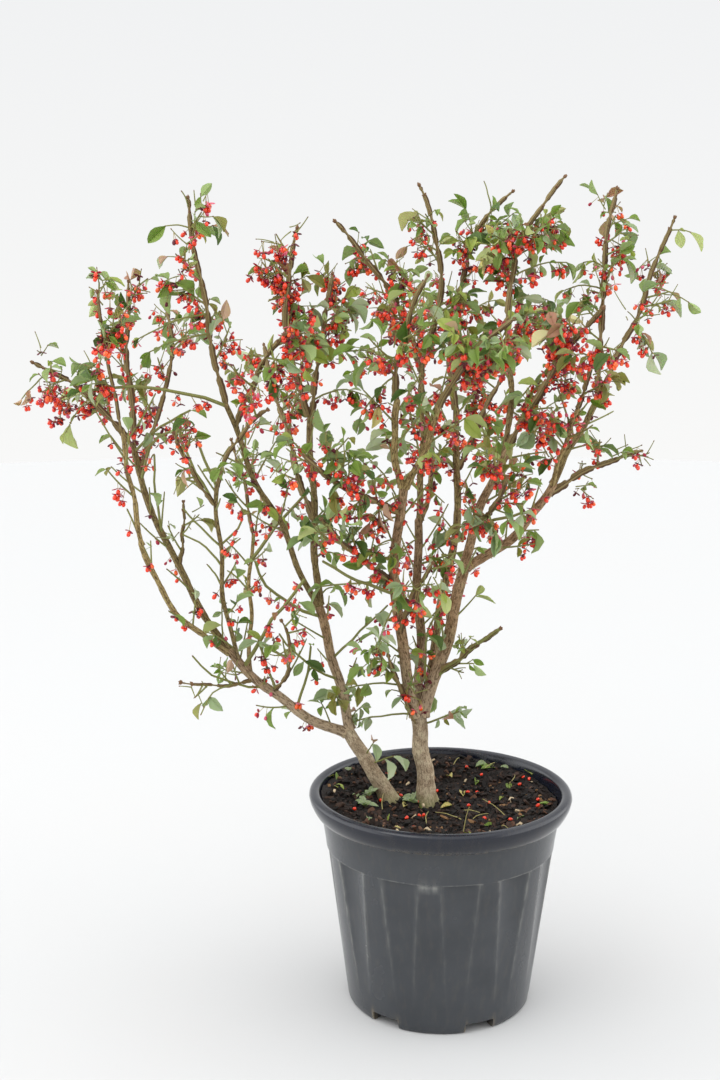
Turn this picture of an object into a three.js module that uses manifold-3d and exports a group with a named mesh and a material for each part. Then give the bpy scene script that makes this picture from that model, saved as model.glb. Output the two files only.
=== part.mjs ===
// A winged spindle shrub in its fluted nursery pot.
//
// Millimetres, +Z up, +X right and +Y away from the viewer. The origin is the
// centre of the pot's flat underside. The pot holds a plug of soil, two short
// trunks stand on the soil, tapering boughs rise from them, and each mass of
// foliage grows on from a bough as one stem with side twigs, leaves and fruit.

import * as THREE from 'three';
import { mergeVertices } from 'three/addons/utils/BufferGeometryUtils.js';
import Module from 'manifold-3d';

const wasm = await Module();
wasm.setup();

// Clearance between pieces that touch, and the shortest edge that joining may leave
const GAP = 0.3;
const SHORTEST_EDGE = 0.06;

// Pot
const POT_HEIGHT = 305;
const POT_SEGMENTS = 60;
const FOOT_RADIUS = 128;
const FOOT_ROUND = 4;
const BODY_TOP = 240;
const BODY_TOP_RADIUS = 160;
const COLLAR_TOP = 280;
const COLLAR_TOP_RADIUS = 166;
const LIP_RADIUS = 180;
const LIP_ROUND = 6;
const LIP_INNER_RADIUS = 164;
const WALL = 4;
const FLOOR = 5;

// Flutes that are pressed into the pot's body between its ribs
const FLUTES = 12;
const FLUTE_TURN = 7;
const FLUTE_DEPTH = 6;
const FLUTE_FOOT = 38;
const FLUTE_TOP = 226;
const RIB_SHARE = 0.35;

// Drain notches in the pot's bottom edge
const NOTCHES = 6;
const NOTCH_TURN = 23;
const NOTCH_WIDTH = 42;
const NOTCH_HEIGHT = 14.5;
const NOTCH_REACH = 22;

// Soil
const SOIL_TOP = 271;
const SOIL_SEGMENTS = 40;
const SOIL_FOOT_RADIUS = 98;
const SOIL_CHAMFER_TOP = 24;
const SOIL_SHRINK = 2;

// Boughs: how far each wanders from its plain curve, as a share of its length,
// and how far from its parent's middle it starts, as a share of the parent's radius
const WANDER = 0.012;
const FORK_SHARE = 0.45;
const BOUGH_SIDES = 6;
const BOUGH_STEP = 52;
const TRUNK_STEP = 26;
const FLARE_HEIGHT = 16;

// Each bough leaves `on` at its fraction `at`, bends toward `pull` and ends at `tip`.
// `radii` are its thickness at the two ends, and `flare` widens a trunk's foot.
const BOUGHS = [
  {
    name: 'trunk_right', foot: [-15, 25, 265],
    pull: [-25, 25, 345], tip: [-30, 20, 405], radii: [12.5, 10.5], flare: 0.5,
  },
  {
    name: 'trunk_left', foot: [-66, 35, 265],
    pull: [-100, 35, 330], tip: [-130, 40, 375], radii: [11.5, 9], flare: 0.5,
  },
  {
    name: 'bough_right', on: 'trunk_right',
    pull: [10, 10, 510], tip: [30, 0, 620], radii: [9, 7.6],
  },
  {
    name: 'bough_front', on: 'trunk_right',
    pull: [-80, -20, 570], tip: [-55, -70, 740], radii: [8, 6],
  },
  {
    name: 'bough_back', on: 'trunk_right',
    pull: [-30, 50, 540], tip: [-30, 75, 670], radii: [7, 5.6],
  },
  {
    name: 'bough_upright', on: 'trunk_right',
    pull: [30, 75, 615], tip: [25, 130, 820], radii: [6.5, 4.6],
  },
  {
    name: 'bough_front_left', on: 'bough_front',
    pull: [-75, -90, 795], tip: [-65, -110, 855], radii: [4.8, 4.2],
  },
  {
    name: 'bough_front_right', on: 'bough_front',
    pull: [-25, -100, 790], tip: [-15, -130, 850], radii: [4.8, 4.2],
  },
  {
    name: 'bough_back_top', on: 'bough_back',
    pull: [-25, 100, 780], tip: [-25, 120, 885], radii: [5.4, 4.4],
  },
  {
    name: 'bough_back_away', on: 'bough_back',
    pull: [10, 150, 735], tip: [-20, 215, 830], radii: [4.2, 3.4],
  },
  {
    name: 'bough_right_low', on: 'bough_right',
    pull: [110, 10, 655], tip: [150, 15, 730], radii: [6.6, 5.4],
  },
  {
    name: 'bough_right_inner', on: 'bough_right',
    pull: [45, -15, 710], tip: [85, -30, 785], radii: [6.4, 5.2],
  },
  {
    name: 'bough_right_outer', on: 'bough_right_low',
    pull: [180, 30, 795], tip: [220, 45, 855], radii: [5, 4.4],
  },
  {
    name: 'bough_right_mid', on: 'bough_right_low',
    pull: [155, -20, 785], tip: [170, -60, 840], radii: [3.6, 3],
  },
  {
    name: 'bough_inner_upright', on: 'bough_right_inner', at: 0.94,
    pull: [95, 5, 855], tip: [85, 40, 945], radii: [4.2, 3.6],
  },
  {
    name: 'arch_left', on: 'trunk_left',
    pull: [-220, 20, 405], tip: [-290, 0, 500], radii: [7.2, 6],
  },
  {
    name: 'upright_left', on: 'trunk_left',
    pull: [-145, 45, 465], tip: [-170, 50, 555], radii: [7.2, 6.2],
  },
  {
    name: 'arch_inner', on: 'arch_left',
    pull: [-385, 15, 625], tip: [-420, 30, 780], radii: [5.2, 4.2],
  },
  {
    name: 'arch_outer', on: 'arch_left',
    pull: [-375, -30, 555], tip: [-400, -60, 660], radii: [4.2, 3.4],
  },
  {
    name: 'arch_outer_top', on: 'arch_outer',
    pull: [-410, -75, 740], tip: [-415, -90, 815], radii: [3.3, 2.8],
  },
  {
    name: 'upright_left_top', on: 'upright_left',
    pull: [-180, 45, 690], tip: [-180, 40, 820], radii: [5.2, 4.4],
  },
  {
    name: 'slant_left', on: 'upright_left',
    pull: [-235, 0, 695], tip: [-285, -60, 845], radii: [4.8, 3.8],
  },
  {
    name: 'side_left', on: 'arch_left', at: 0.94,
    pull: [-305, -45, 620], tip: [-295, -100, 745], radii: [3.4, 2.8],
  },
  {
    name: 'side_back_left', on: 'arch_left', at: 0.82,
    pull: [-270, 65, 565], tip: [-265, 120, 640], radii: [3.4, 2.8],
  },
];

// Masses: each grows from `on` as one stem that bends toward `pull` and ends at `tip`.
// `reach` is how far its twigs spread from the stem, `twigs` how many it tries,
// `fruit` the share of its nodes that carry fruit, and `bare` the length of stem
// past its last twig, as a share of the stem.
const MASSES = [
  {
    name: 'far_left', on: 'arch_inner',
    pull: [-460, -15, 860], tip: [-530, -70, 900],
    reach: 80, twigs: 5, fruit: 0.6,
  },
  {
    name: 'left_top', on: 'arch_inner',
    pull: [-430, 45, 895], tip: [-425, 60, 1000],
    reach: 85, twigs: 5, fruit: 0.5,
  },
  {
    name: 'left_outer', on: 'arch_outer_top',
    pull: [-430, -110, 910], tip: [-435, -130, 990],
    reach: 75, twigs: 5, fruit: 0.5,
  },
  {
    name: 'left_inner', on: 'arch_inner', at: 0.9,
    pull: [-355, 95, 905], tip: [-385, 140, 960],
    reach: 80, twigs: 5, fruit: 0.6,
  },
  {
    name: 'left_low', on: 'arch_inner', at: 0.45,
    pull: [-350, 5, 660], tip: [-345, -40, 715],
    reach: 60, twigs: 3, fruit: 0.3,
  },
  {
    name: 'low_left', on: 'arch_left', at: 0.78,
    pull: [-300, -30, 455], tip: [-350, -65, 475],
    reach: 62, twigs: 3, fruit: 0,
  },
  {
    name: 'tall_left', on: 'slant_left',
    pull: [-315, -75, 975], tip: [-325, -90, 1105],
    reach: 85, twigs: 6, fruit: 0.6,
  },
  {
    name: 'mid_left', on: 'slant_left', at: 0.9,
    pull: [-250, -105, 885], tip: [-205, -160, 940],
    reach: 85, twigs: 5, fruit: 0.6,
  },
  {
    name: 'centre_left', on: 'upright_left_top',
    pull: [-230, 30, 945], tip: [-195, 20, 1070],
    reach: 105, twigs: 7, fruit: 0.8,
  },
  {
    name: 'centre_left_inner', on: 'upright_left_top',
    pull: [-165, 55, 915], tip: [-150, 80, 1010],
    reach: 85, twigs: 5, fruit: 0.7,
  },
  {
    name: 'back_left', on: 'upright_left_top', at: 0.45,
    pull: [-225, 150, 790], tip: [-255, 250, 905],
    reach: 105, twigs: 6, fruit: 0.6,
  },
  {
    name: 'side_left_top', on: 'side_left',
    pull: [-275, -140, 815], tip: [-225, -175, 850],
    reach: 80, twigs: 5, fruit: 0.6,
  },
  {
    name: 'side_left_out', on: 'side_left', at: 0.9,
    pull: [-330, -110, 765], tip: [-345, -125, 815],
    reach: 65, twigs: 4, fruit: 0.4,
  },
  {
    name: 'side_back_left_top', on: 'side_back_left',
    pull: [-275, 150, 705], tip: [-300, 185, 770],
    reach: 80, twigs: 5, fruit: 0.5,
  },
  {
    name: 'left_foot', on: 'arch_left', at: 0.62,
    pull: [-190, -20, 490], tip: [-215, -70, 560],
    reach: 85, twigs: 4, fruit: 0.3,
  },
  {
    name: 'top_left', on: 'bough_back_top',
    pull: [-65, 90, 1000], tip: [-145, 60, 1080],
    reach: 90, twigs: 6, fruit: 0.7, bare: 0.25,
  },
  {
    name: 'top_centre', on: 'bough_back_top',
    pull: [25, 125, 1030], tip: [-30, 130, 1130],
    reach: 85, twigs: 6, fruit: 0.6, bare: 0.22,
  },
  {
    name: 'top_middle', on: 'bough_upright',
    pull: [-5, 165, 1035], tip: [105, 190, 1125],
    reach: 95, twigs: 7, fruit: 0.7, bare: 0.2,
  },
  {
    name: 'top_right', on: 'bough_inner_upright',
    pull: [85, 65, 1055], tip: [165, 90, 1140],
    reach: 90, twigs: 6, fruit: 0.6, bare: 0.3,
  },
  {
    name: 'back_centre', on: 'bough_back_away',
    pull: [-30, 255, 920], tip: [-70, 300, 985],
    reach: 105, twigs: 6, fruit: 0.6,
  },
  {
    name: 'back_right', on: 'bough_upright', at: 0.8,
    pull: [90, 185, 850], tip: [130, 260, 950],
    reach: 105, twigs: 6, fruit: 0.6,
  },
  {
    name: 'right_inner', on: 'bough_right_inner',
    pull: [125, -70, 890], tip: [190, -110, 970],
    reach: 95, twigs: 6, fruit: 0.7, bare: 0.2,
  },
  {
    name: 'right_mid', on: 'bough_right_mid',
    pull: [180, -90, 885], tip: [185, -120, 930],
    reach: 75, twigs: 4, fruit: 0.7,
  },
  {
    name: 'right_top', on: 'bough_right_outer',
    pull: [265, 50, 965], tip: [310, 60, 1085],
    reach: 90, twigs: 6, fruit: 0.6, bare: 0.28,
  },
  {
    name: 'right_top_left', on: 'bough_right_outer', at: 0.93,
    pull: [215, 85, 1040], tip: [240, 110, 1125],
    reach: 80, twigs: 6, fruit: 0.5, bare: 0.15,
  },
  {
    name: 'right_low', on: 'bough_right_low', at: 0.92,
    pull: [205, 40, 755], tip: [275, 60, 770],
    reach: 70, twigs: 4, fruit: 0.6,
  },
  {
    name: 'right_foot', on: 'bough_right', at: 0.28,
    pull: [35, -15, 505], tip: [75, -50, 545],
    reach: 55, twigs: 3, fruit: 0, bare: 0.4,
  },
  {
    name: 'front_left', on: 'bough_front_left',
    pull: [-70, -135, 940], tip: [-30, -160, 1010],
    reach: 90, twigs: 6, fruit: 0.5, bare: 0.25,
  },
  {
    name: 'front_right', on: 'bough_front_right',
    pull: [10, -165, 915], tip: [70, -200, 960],
    reach: 90, twigs: 6, fruit: 0.5, bare: 0.25,
  },
  {
    name: 'front_side', on: 'bough_front', at: 0.9,
    pull: [-140, -130, 745], tip: [-180, -185, 795],
    reach: 95, twigs: 6, fruit: 0.5,
  },
  {
    name: 'front_side_low', on: 'bough_front', at: 0.6,
    pull: [-130, -90, 660], tip: [-160, -150, 710],
    reach: 85, twigs: 5, fruit: 0.4,
  },
  {
    name: 'front_low', on: 'bough_front', at: 0.4,
    pull: [-50, -80, 590], tip: [-20, -130, 650],
    reach: 85, twigs: 5, fruit: 0.4,
  },
  {
    name: 'front_inner', on: 'bough_right_inner', at: 0.4,
    pull: [60, -90, 700], tip: [70, -160, 765],
    reach: 85, twigs: 5, fruit: 0.5,
  },
  {
    name: 'foot', on: 'trunk_right', at: 0.9,
    pull: [-60, -10, 450], tip: [-75, -40, 510],
    reach: 75, twigs: 4, fruit: 0.1,
  },
];

// Stems: four-sided, thinner than the bough they leave, with no twig near their foot
const STEM_SIDES = 4;
const STEM_STEP = 62;
const STEM_RADIUS = 4.4;
const STEM_TIP_RADIUS = 2.4;
const STEM_SHARE = 0.9;
const STEM_TAPER = 0.75;
const FIRST_TWIG = 0.14;
const DEFAULT_BARE = 0.02;

// Twigs leave the stem a golden share of its length and a golden angle apart.
// Angles, lengths (as shares of the reach) and rises vary between two values.
const TRIES = 2;
const GOLDEN_SHARE = 0.618034;
const GOLDEN_ANGLE = THREE.MathUtils.degToRad(137.5);
const TWIG_ANGLES = [THREE.MathUtils.degToRad(45), THREE.MathUtils.degToRad(64)];
const TWIG_LENGTHS = [0.42, 0.62];
const TWIG_RISES = [-0.05, 0.3];
const TOP_TWIG_SHARE = 0.7;
const TWIG_PULL = 0.55;
const TWIG_SIDES = 3;
const TWIG_STEPS = 2;
const TWIG_RADII = [2.2, 1.5];

// Leaves and fruit: length, width and thickness, larger than life because they are fewer
const LEAF_NODES = [
  { at: 0.5, spread: THREE.MathUtils.degToRad(70) },
  { at: 0.97, spread: THREE.MathUtils.degToRad(12) },
];
const LEAF_SIZE = [60, 30, 2.4];
const LEAF_SIZES = [0.85, 1.1];
const LEAF_ROLLS = [-0.7, 0.7];
const LEAF_DROOP = 0.35;
const FRUIT_NODE = 0.75;
const FRUIT_SIZE = [26, 15, 15];
const FRUIT_HANG = -1.6;
const BLADE_BELLY = 0.46;
const ROOT_DEPTH = 0.5;

// Clearances of foliage: from its neighbours' spaces, from the boughs and above the soil
const SPACE_MARGIN = 0.05;
const BOUGH_MARGIN = 1.2;
const LOWEST_FOLIAGE = SOIL_TOP + 45;
const SAMPLES = 12;

const BARK = { color: 0x6b5f52, roughness: 0.85, metalness: 0 };
const FOLIAGE = { color: 0x5f7d45, roughness: 0.6, metalness: 0 };
const PLASTIC = { color: 0x50555b, roughness: 0.45, metalness: 0 };
const COMPOST = { color: 0x2e241d, roughness: 0.95, metalness: 0 };

const UP = new THREE.Vector3(0, 0, 1);
const TURN = 2 * Math.PI;
const { lerp, clamp, degToRad } = THREE.MathUtils;
const vector = (values) => new THREE.Vector3(...values);
const between = (range, share) => lerp(range[0], range[1], share);

// Random numbers from 0 to 1 that a name seeds, the same on every run
function randomFor(name) {
  let state = [...name].reduce((sum, letter) => (Math.imul(sum, 31) + letter.charCodeAt(0)) >>> 0, 7);
  return () => {
    state = (state + 0x6d2b79f5) >>> 0;
    let mixed = Math.imul(state ^ (state >>> 15), state | 1);
    mixed ^= mixed + Math.imul(mixed ^ (mixed >>> 7), mixed | 61);
    return ((mixed ^ (mixed >>> 14)) >>> 0) / 2 ** 32;
  };
}

// A closed geometry as a solid that can be joined and cut
function toSolid(geometry) {
  geometry.deleteAttribute('normal');
  geometry.deleteAttribute('uv');
  const merged = mergeVertices(geometry);
  return new wasm.Manifold(new wasm.Mesh({
    numProp: 3,
    vertProperties: merged.attributes.position.array,
    triVerts: Uint32Array.from(merged.index.array),
  }));
}

// The largest body of a solid, without loose scraps, sealed hollows or tiny edges
function largestBody(solid) {
  const bodies = solid.decompose();
  const largest = bodies.reduce((best, body) => (body.volume() > best.volume() ? body : best));
  return largest.asOriginal().simplify(SHORTEST_EDGE);
}

function toMesh(name, solid, finish) {
  const { vertProperties, triVerts } = solid.getMesh();
  const geometry = new THREE.BufferGeometry();
  geometry.setAttribute('position', new THREE.BufferAttribute(vertProperties, 3));
  geometry.setIndex(new THREE.BufferAttribute(triVerts, 1));
  geometry.computeVertexNormals();
  const mesh = new THREE.Mesh(geometry, new THREE.MeshStandardMaterial({ ...finish, flatShading: true }));
  mesh.name = name;
  return mesh;
}

function perpendicular(direction) {
  return direction.clone().cross(new THREE.Vector3(1, 0, 0)).normalize();
}

// One tapering limb: a quadratic curve that wanders a little, by draws that its name seeds
class Limb {
  constructor({ name, foot, pull, tip, radii, flare = 0, wander = WANDER }) {
    this.name = name;
    this.curve = new THREE.QuadraticBezierCurve3(foot, pull, tip);
    this.length = this.curve.getLength();
    this.radii = radii;
    this.flare = flare;
    this.amplitude = wander * this.length;
    const draw = randomFor(name);
    this.phases = [draw() * TURN, draw() * TURN];
    const bend = new THREE.Vector3().subVectors(pull, foot).cross(new THREE.Vector3().subVectors(tip, pull));
    this.normal = bend.length() > 1 ? bend.normalize() : perpendicular(this.curve.getTangent(0.5));
    this.samples = Array.from({ length: SAMPLES + 1 }, (_, i) => this.point(i / SAMPLES));
  }

  // Across the bend, along the limb and out of the bend's plane, at a fraction of the limb
  axes(t) {
    const along = this.curve.getTangent(t);
    return { side: along.clone().cross(this.normal).normalize(), along, normal: this.normal };
  }

  point(t) {
    const { side, normal } = this.axes(t);
    const sway = this.amplitude * Math.sin(Math.PI * t);
    return this.curve.getPoint(t)
      .addScaledVector(side, sway * Math.sin(1.5 * TURN * t + this.phases[0]))
      .addScaledVector(normal, sway * Math.sin(2 * TURN * t + this.phases[1]));
  }

  radius(t) {
    return between(this.radii, t) * (1 + this.flare * Math.exp((-t * this.length) / FLARE_HEIGHT));
  }

  // A cylinder bent along the limb and tapered with it, swollen on all sides by `swell`
  solid(sides, steps, swell = 0) {
    const geometry = new THREE.CylinderGeometry(1, 1, 1, sides, steps);
    const position = geometry.attributes.position;
    for (let i = 0; i < position.count; i += 1) {
      const t = position.getY(i) + 0.5;
      const beyond = swell * Math.trunc(2 * t - 1);
      const radius = this.radius(t) + swell;
      const { side, along, normal } = this.axes(t);
      const place = this.point(t)
        .addScaledVector(along, beyond)
        .addScaledVector(side, position.getX(i) * radius)
        .addScaledVector(normal, position.getZ(i) * radius);
      position.setXYZ(i, place.x, place.y, place.z);
    }
    return toSolid(geometry);
  }

  // How far a point lies from the limb's middle line, and at what fraction of the limb
  nearest(point) {
    const segment = new THREE.Line3();
    const closest = new THREE.Vector3();
    let best = { distance: Infinity, t: 0 };
    for (let i = 0; i < SAMPLES; i += 1) {
      segment.set(this.samples[i], this.samples[i + 1]);
      const share = segment.closestPointToPointParameter(point, true);
      const distance = segment.at(share, closest).distanceTo(point);
      if (distance < best.distance) best = { distance, t: (i + share) / SAMPLES };
    }
    return best;
  }
}

const stepsFor = (limb, step) => Math.max(2, Math.round(limb.length / step));

// Outside radius of the pot's body at a height, over its ribs
const bodyRadius = (height) => lerp(FOOT_RADIUS, BODY_TOP_RADIUS, height / BODY_TOP);

// How deep the flutes are at a turn round the pot and a height
function fluteDepth(turn, height) {
  if (height > FLUTE_TOP + 1) return 0;
  const pitches = (turn - degToRad(FLUTE_TURN)) / (TURN / FLUTES);
  const across = 2 * Math.abs(pitches - Math.round(pitches));
  const hollow = Math.cos((Math.PI / 2) * Math.min(1, across / (1 - RIB_SHARE)));
  const rise = clamp((height - FLUTE_FOOT) / (FLUTE_TOP - FLUTE_FOOT), 0, 1);
  return FLUTE_DEPTH * hollow * rise;
}

// A profile of radius and height turned round the Z axis
function lathe(profile, segments, start) {
  const points = profile.map(([radius, height]) => new THREE.Vector2(radius, height));
  return new THREE.LatheGeometry(points, segments, start).rotateX(Math.PI / 2);
}

function buildPot() {
  const lipFoot = COLLAR_TOP + 1;
  const middle = (FLUTE_FOOT + FLUTE_TOP) / 2;
  const geometry = lathe([
    [0, 0],
    [FOOT_RADIUS - FOOT_ROUND, 0],
    [bodyRadius(FOOT_ROUND), FOOT_ROUND],
    [bodyRadius(FLUTE_FOOT), FLUTE_FOOT],
    [bodyRadius(middle), middle],
    [bodyRadius(FLUTE_TOP), FLUTE_TOP],
    [BODY_TOP_RADIUS, BODY_TOP],
    [COLLAR_TOP_RADIUS, COLLAR_TOP],
    [LIP_RADIUS - LIP_ROUND, lipFoot],
    [LIP_RADIUS, lipFoot + LIP_ROUND],
    [LIP_RADIUS, POT_HEIGHT - LIP_ROUND],
    [LIP_RADIUS - LIP_ROUND, POT_HEIGHT],
    [LIP_INNER_RADIUS + LIP_ROUND / 2, POT_HEIGHT],
    [LIP_INNER_RADIUS, POT_HEIGHT - LIP_ROUND],
    [BODY_TOP_RADIUS - WALL, BODY_TOP],
    [bodyRadius(FLUTE_TOP) - WALL, FLUTE_TOP],
    [bodyRadius(FLUTE_FOOT) - WALL, FLUTE_FOOT],
    [bodyRadius(FLOOR) - WALL, FLOOR],
    [0, FLOOR],
  ], POT_SEGMENTS, degToRad(FLUTE_TURN) + TURN / POT_SEGMENTS / 2);
  const position = geometry.attributes.position;
  for (let i = 0; i < position.count; i += 1) {
    const [x, y, z] = [position.getX(i), position.getY(i), position.getZ(i)];
    const radius = Math.hypot(x, y);
    const pressed = radius > SOIL_FOOT_RADIUS ? 1 - fluteDepth(Math.atan2(x, -y), z) / radius : 1;
    position.setXYZ(i, x * pressed, y * pressed, z);
  }
  let pot = toSolid(geometry);
  for (let i = 0; i < NOTCHES; i += 1) {
    const notch = new THREE.BoxGeometry(NOTCH_WIDTH, 2 * NOTCH_REACH, 2 * NOTCH_HEIGHT);
    notch.translate(0, -FOOT_RADIUS, 0);
    notch.rotateZ(degToRad(NOTCH_TURN) + (i * TURN) / NOTCHES);
    pot = pot.subtract(toSolid(notch));
  }
  return largestBody(pot);
}

// The soil fills the pot, clear of the flutes, with a chamfer behind the drain notches
function buildSoil() {
  const inside = (height) => bodyRadius(height) - WALL - FLUTE_DEPTH - GAP;
  const collarShare = (SOIL_TOP - BODY_TOP) / (COLLAR_TOP - BODY_TOP);
  const collarRadius = lerp(BODY_TOP_RADIUS, COLLAR_TOP_RADIUS, collarShare);
  return toSolid(lathe([
    [0, FLOOR + GAP],
    [SOIL_FOOT_RADIUS, FLOOR + GAP],
    [inside(SOIL_CHAMFER_TOP), SOIL_CHAMFER_TOP],
    [inside(FLUTE_TOP), FLUTE_TOP],
    [BODY_TOP_RADIUS - WALL - SOIL_SHRINK, BODY_TOP],
    [collarRadius - WALL - SOIL_SHRINK, SOIL_TOP],
    [0, SOIL_TOP],
  ], SOIL_SEGMENTS, 0));
}

// Where a limb starts: inside its parent, a little to its own side of a shared fork
function footOn(parent, at, pull) {
  const foot = parent.point(at);
  const { along } = parent.axes(at);
  const outward = new THREE.Vector3().subVectors(pull, foot);
  outward.addScaledVector(along, -outward.dot(along)).normalize();
  return foot.addScaledVector(outward, parent.radius(at) * FORK_SHARE);
}

function buildLimbs() {
  const limbs = new Map();
  for (const row of BOUGHS) {
    const pull = vector(row.pull);
    const foot = row.on ? footOn(limbs.get(row.on), row.at ?? 1, pull) : vector(row.foot);
    limbs.set(row.name, new Limb({ ...row, foot, pull, tip: vector(row.tip) }));
  }
  return limbs;
}

function buildStems(limbs) {
  return MASSES.map((row) => {
    const parent = limbs.get(row.on);
    const at = row.at ?? 1;
    const pull = vector(row.pull);
    const radius = Math.min(parent.radius(at) * STEM_SHARE, STEM_RADIUS);
    const stem = new Limb({
      name: row.name,
      foot: footOn(parent, at, pull),
      pull,
      tip: vector(row.tip),
      radii: [radius, Math.min(STEM_TIP_RADIUS, radius * STEM_TAPER)],
    });
    return { ...row, stem, bare: row.bare ?? DEFAULT_BARE };
  });
}

// Whether a point is in a mass's own space, nearer to its stem than to any other, and clear of boughs
function isFree(point, mass, masses, limbs) {
  if (point.z < LOWEST_FOLIAGE) return false;
  const own = mass.stem.nearest(point).distance / mass.reach;
  if (own > 1) return false;
  for (const other of masses) {
    const theirs = other.stem.nearest(point).distance / other.reach;
    if (other !== mass && theirs < own + SPACE_MARGIN) return false;
  }
  for (const limb of limbs.values()) {
    const { distance, t } = limb.nearest(point);
    if (distance < limb.radius(t) + BOUGH_MARGIN) return false;
  }
  return true;
}

// A unit direction that leaves a limb's own direction by `spread`, at a turn round it
function headingFrom(limb, t, spread, turn) {
  const { side, along, normal } = limb.axes(t);
  return new THREE.Vector3()
    .addScaledVector(along, Math.cos(spread))
    .addScaledVector(side, Math.sin(spread) * Math.cos(turn))
    .addScaledVector(normal, Math.sin(spread) * Math.sin(turn));
}

// The side twigs that a mass tries, in the order of its seeded draws
function sideTwigs(mass) {
  const draw = randomFor(`${mass.name}_twigs`);
  const firstTurn = draw() * TURN;
  return Array.from({ length: mass.twigs * TRIES }, (_, i) => {
    const share = ((i + 1) * GOLDEN_SHARE) % 1;
    const t = lerp(FIRST_TWIG, 1 - mass.bare, share);
    const turn = firstTurn + (i + 1) * GOLDEN_ANGLE;
    const heading = headingFrom(mass.stem, t, between(TWIG_ANGLES, draw()), turn);
    const length = mass.reach * between(TWIG_LENGTHS, draw()) * lerp(1, TOP_TWIG_SHARE, share);
    const rise = length * between(TWIG_RISES, draw());
    const foot = mass.stem.point(t);
    const pull = foot.clone().addScaledVector(heading, length * TWIG_PULL);
    const tip = foot.clone().addScaledVector(heading, length).addScaledVector(UP, rise);
    return new Limb({ name: `${mass.name}_${i}`, foot, pull, tip, radii: TWIG_RADII, wander: 0 });
  });
}

// A keeled blade of six faces, pointed at both ends, whose root is sunk into its twig
function blade(root, heading, flat, [length, width, thickness]) {
  const across = heading.clone().cross(flat).normalize();
  const out = across.clone().cross(heading);
  const outline = [[0, 0], [1, BLADE_BELLY], [0, 1]].map(([x, y]) => new THREE.Vector2(x, y));
  const geometry = new THREE.LatheGeometry(outline, 3);
  geometry.scale(width / Math.sqrt(3), length, thickness / 1.5);
  geometry.translate(0, -ROOT_DEPTH, 0);
  return geometry.applyMatrix4(new THREE.Matrix4().makeBasis(across, heading, out).setPosition(root));
}

// What a twig tries to carry: a leaf at its side, a leaf at its end and perhaps a hanging fruit
function bladesOn(twig, fruitShare, draw) {
  const turn = draw() * TURN;
  const blades = LEAF_NODES.map(({ at, spread }) => {
    const size = between(LEAF_SIZES, draw());
    const roll = between(LEAF_ROLLS, draw());
    const heading = headingFrom(twig, at, spread, turn).addScaledVector(UP, -LEAF_DROOP).normalize();
    const flat = UP.clone().applyAxisAngle(heading, roll);
    return blade(twig.point(at), heading, flat, LEAF_SIZE.map((value) => value * size));
  });
  const hang = new THREE.Vector3(draw() - 0.5, draw() - 0.5, FRUIT_HANG).normalize();
  if (draw() < fruitShare) {
    blades.push(blade(twig.point(FRUIT_NODE), hang, twig.axes(FRUIT_NODE).side, FRUIT_SIZE));
  }
  return blades;
}

// Corners and edge middles of a blade, for testing its place
function testPoints(geometry) {
  const position = geometry.attributes.position;
  const corners = Array.from(
    { length: position.count },
    (_, i) => new THREE.Vector3().fromBufferAttribute(position, i),
  );
  const middles = corners.slice(1).map((corner, i) => corner.clone().lerp(corners[i], 0.5));
  return [...corners, ...middles];
}

// A mass's stem with the twigs, leaves and fruit that find a free place, fused
function buildMass(mass, masses, limbs) {
  const isClear = (point) => isFree(point, mass, masses, limbs);
  const draw = randomFor(`${mass.name}_leaves`);
  let solid = mass.stem.solid(STEM_SIDES, stepsFor(mass.stem, STEM_STEP));
  let grown = 0;
  for (const twig of sideTwigs(mass)) {
    const blades = bladesOn(twig, mass.fruit, draw);
    if (grown < mass.twigs && twig.samples.slice(1).every(isClear)) {
      grown += 1;
      solid = solid.add(twig.solid(TWIG_SIDES, TWIG_STEPS));
      for (const geometry of blades) {
        if (testPoints(geometry).every(isClear)) solid = solid.add(toSolid(geometry));
      }
    }
  }
  return solid;
}

const limbs = buildLimbs();
const masses = buildStems(limbs);
const plant = new THREE.Group();
plant.add(toMesh('pot', buildPot(), PLASTIC));
plant.add(toMesh('soil', buildSoil(), COMPOST));

// Each limb and mass is cut clear of the soil and of the limbs built before it
const ground = new THREE.BoxGeometry(2 * LIP_RADIUS, 2 * LIP_RADIUS, SOIL_TOP);
ground.translate(0, 0, SOIL_TOP / 2 + GAP);
const swollen = [toSolid(ground)];
const cutClear = (solid) => largestBody(swollen.reduce((rest, other) => rest.subtract(other), solid));

for (const limb of limbs.values()) {
  const steps = stepsFor(limb, limb.flare ? TRUNK_STEP : BOUGH_STEP);
  plant.add(toMesh(limb.name, cutClear(limb.solid(BOUGH_SIDES, steps)), BARK));
  swollen.push(limb.solid(BOUGH_SIDES, steps, GAP));
}

for (const mass of masses) {
  plant.add(toMesh(mass.name, cutClear(buildMass(mass, masses, limbs)), FOLIAGE));
  swollen.push(mass.stem.solid(STEM_SIDES, stepsFor(mass.stem, STEM_STEP), GAP));
}

export default plant;
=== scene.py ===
"""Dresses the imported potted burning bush: its pot, potting mix, bark, twigs, leaves and fruit.

The limbs and masses of foliage grow by the same rule and the same seeds as their solids, and are
carried on here to finer twigs. Growth is worked out in millimetres, and meshes are in metres.
"""

import logging
import math
from collections.abc import Callable, Iterator, Sequence
from contextlib import contextmanager
from dataclasses import dataclass, field, replace
from enum import Enum
from functools import partial
from typing import TypeVar

import bpy
import numpy as np
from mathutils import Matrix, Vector, noise


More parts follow.
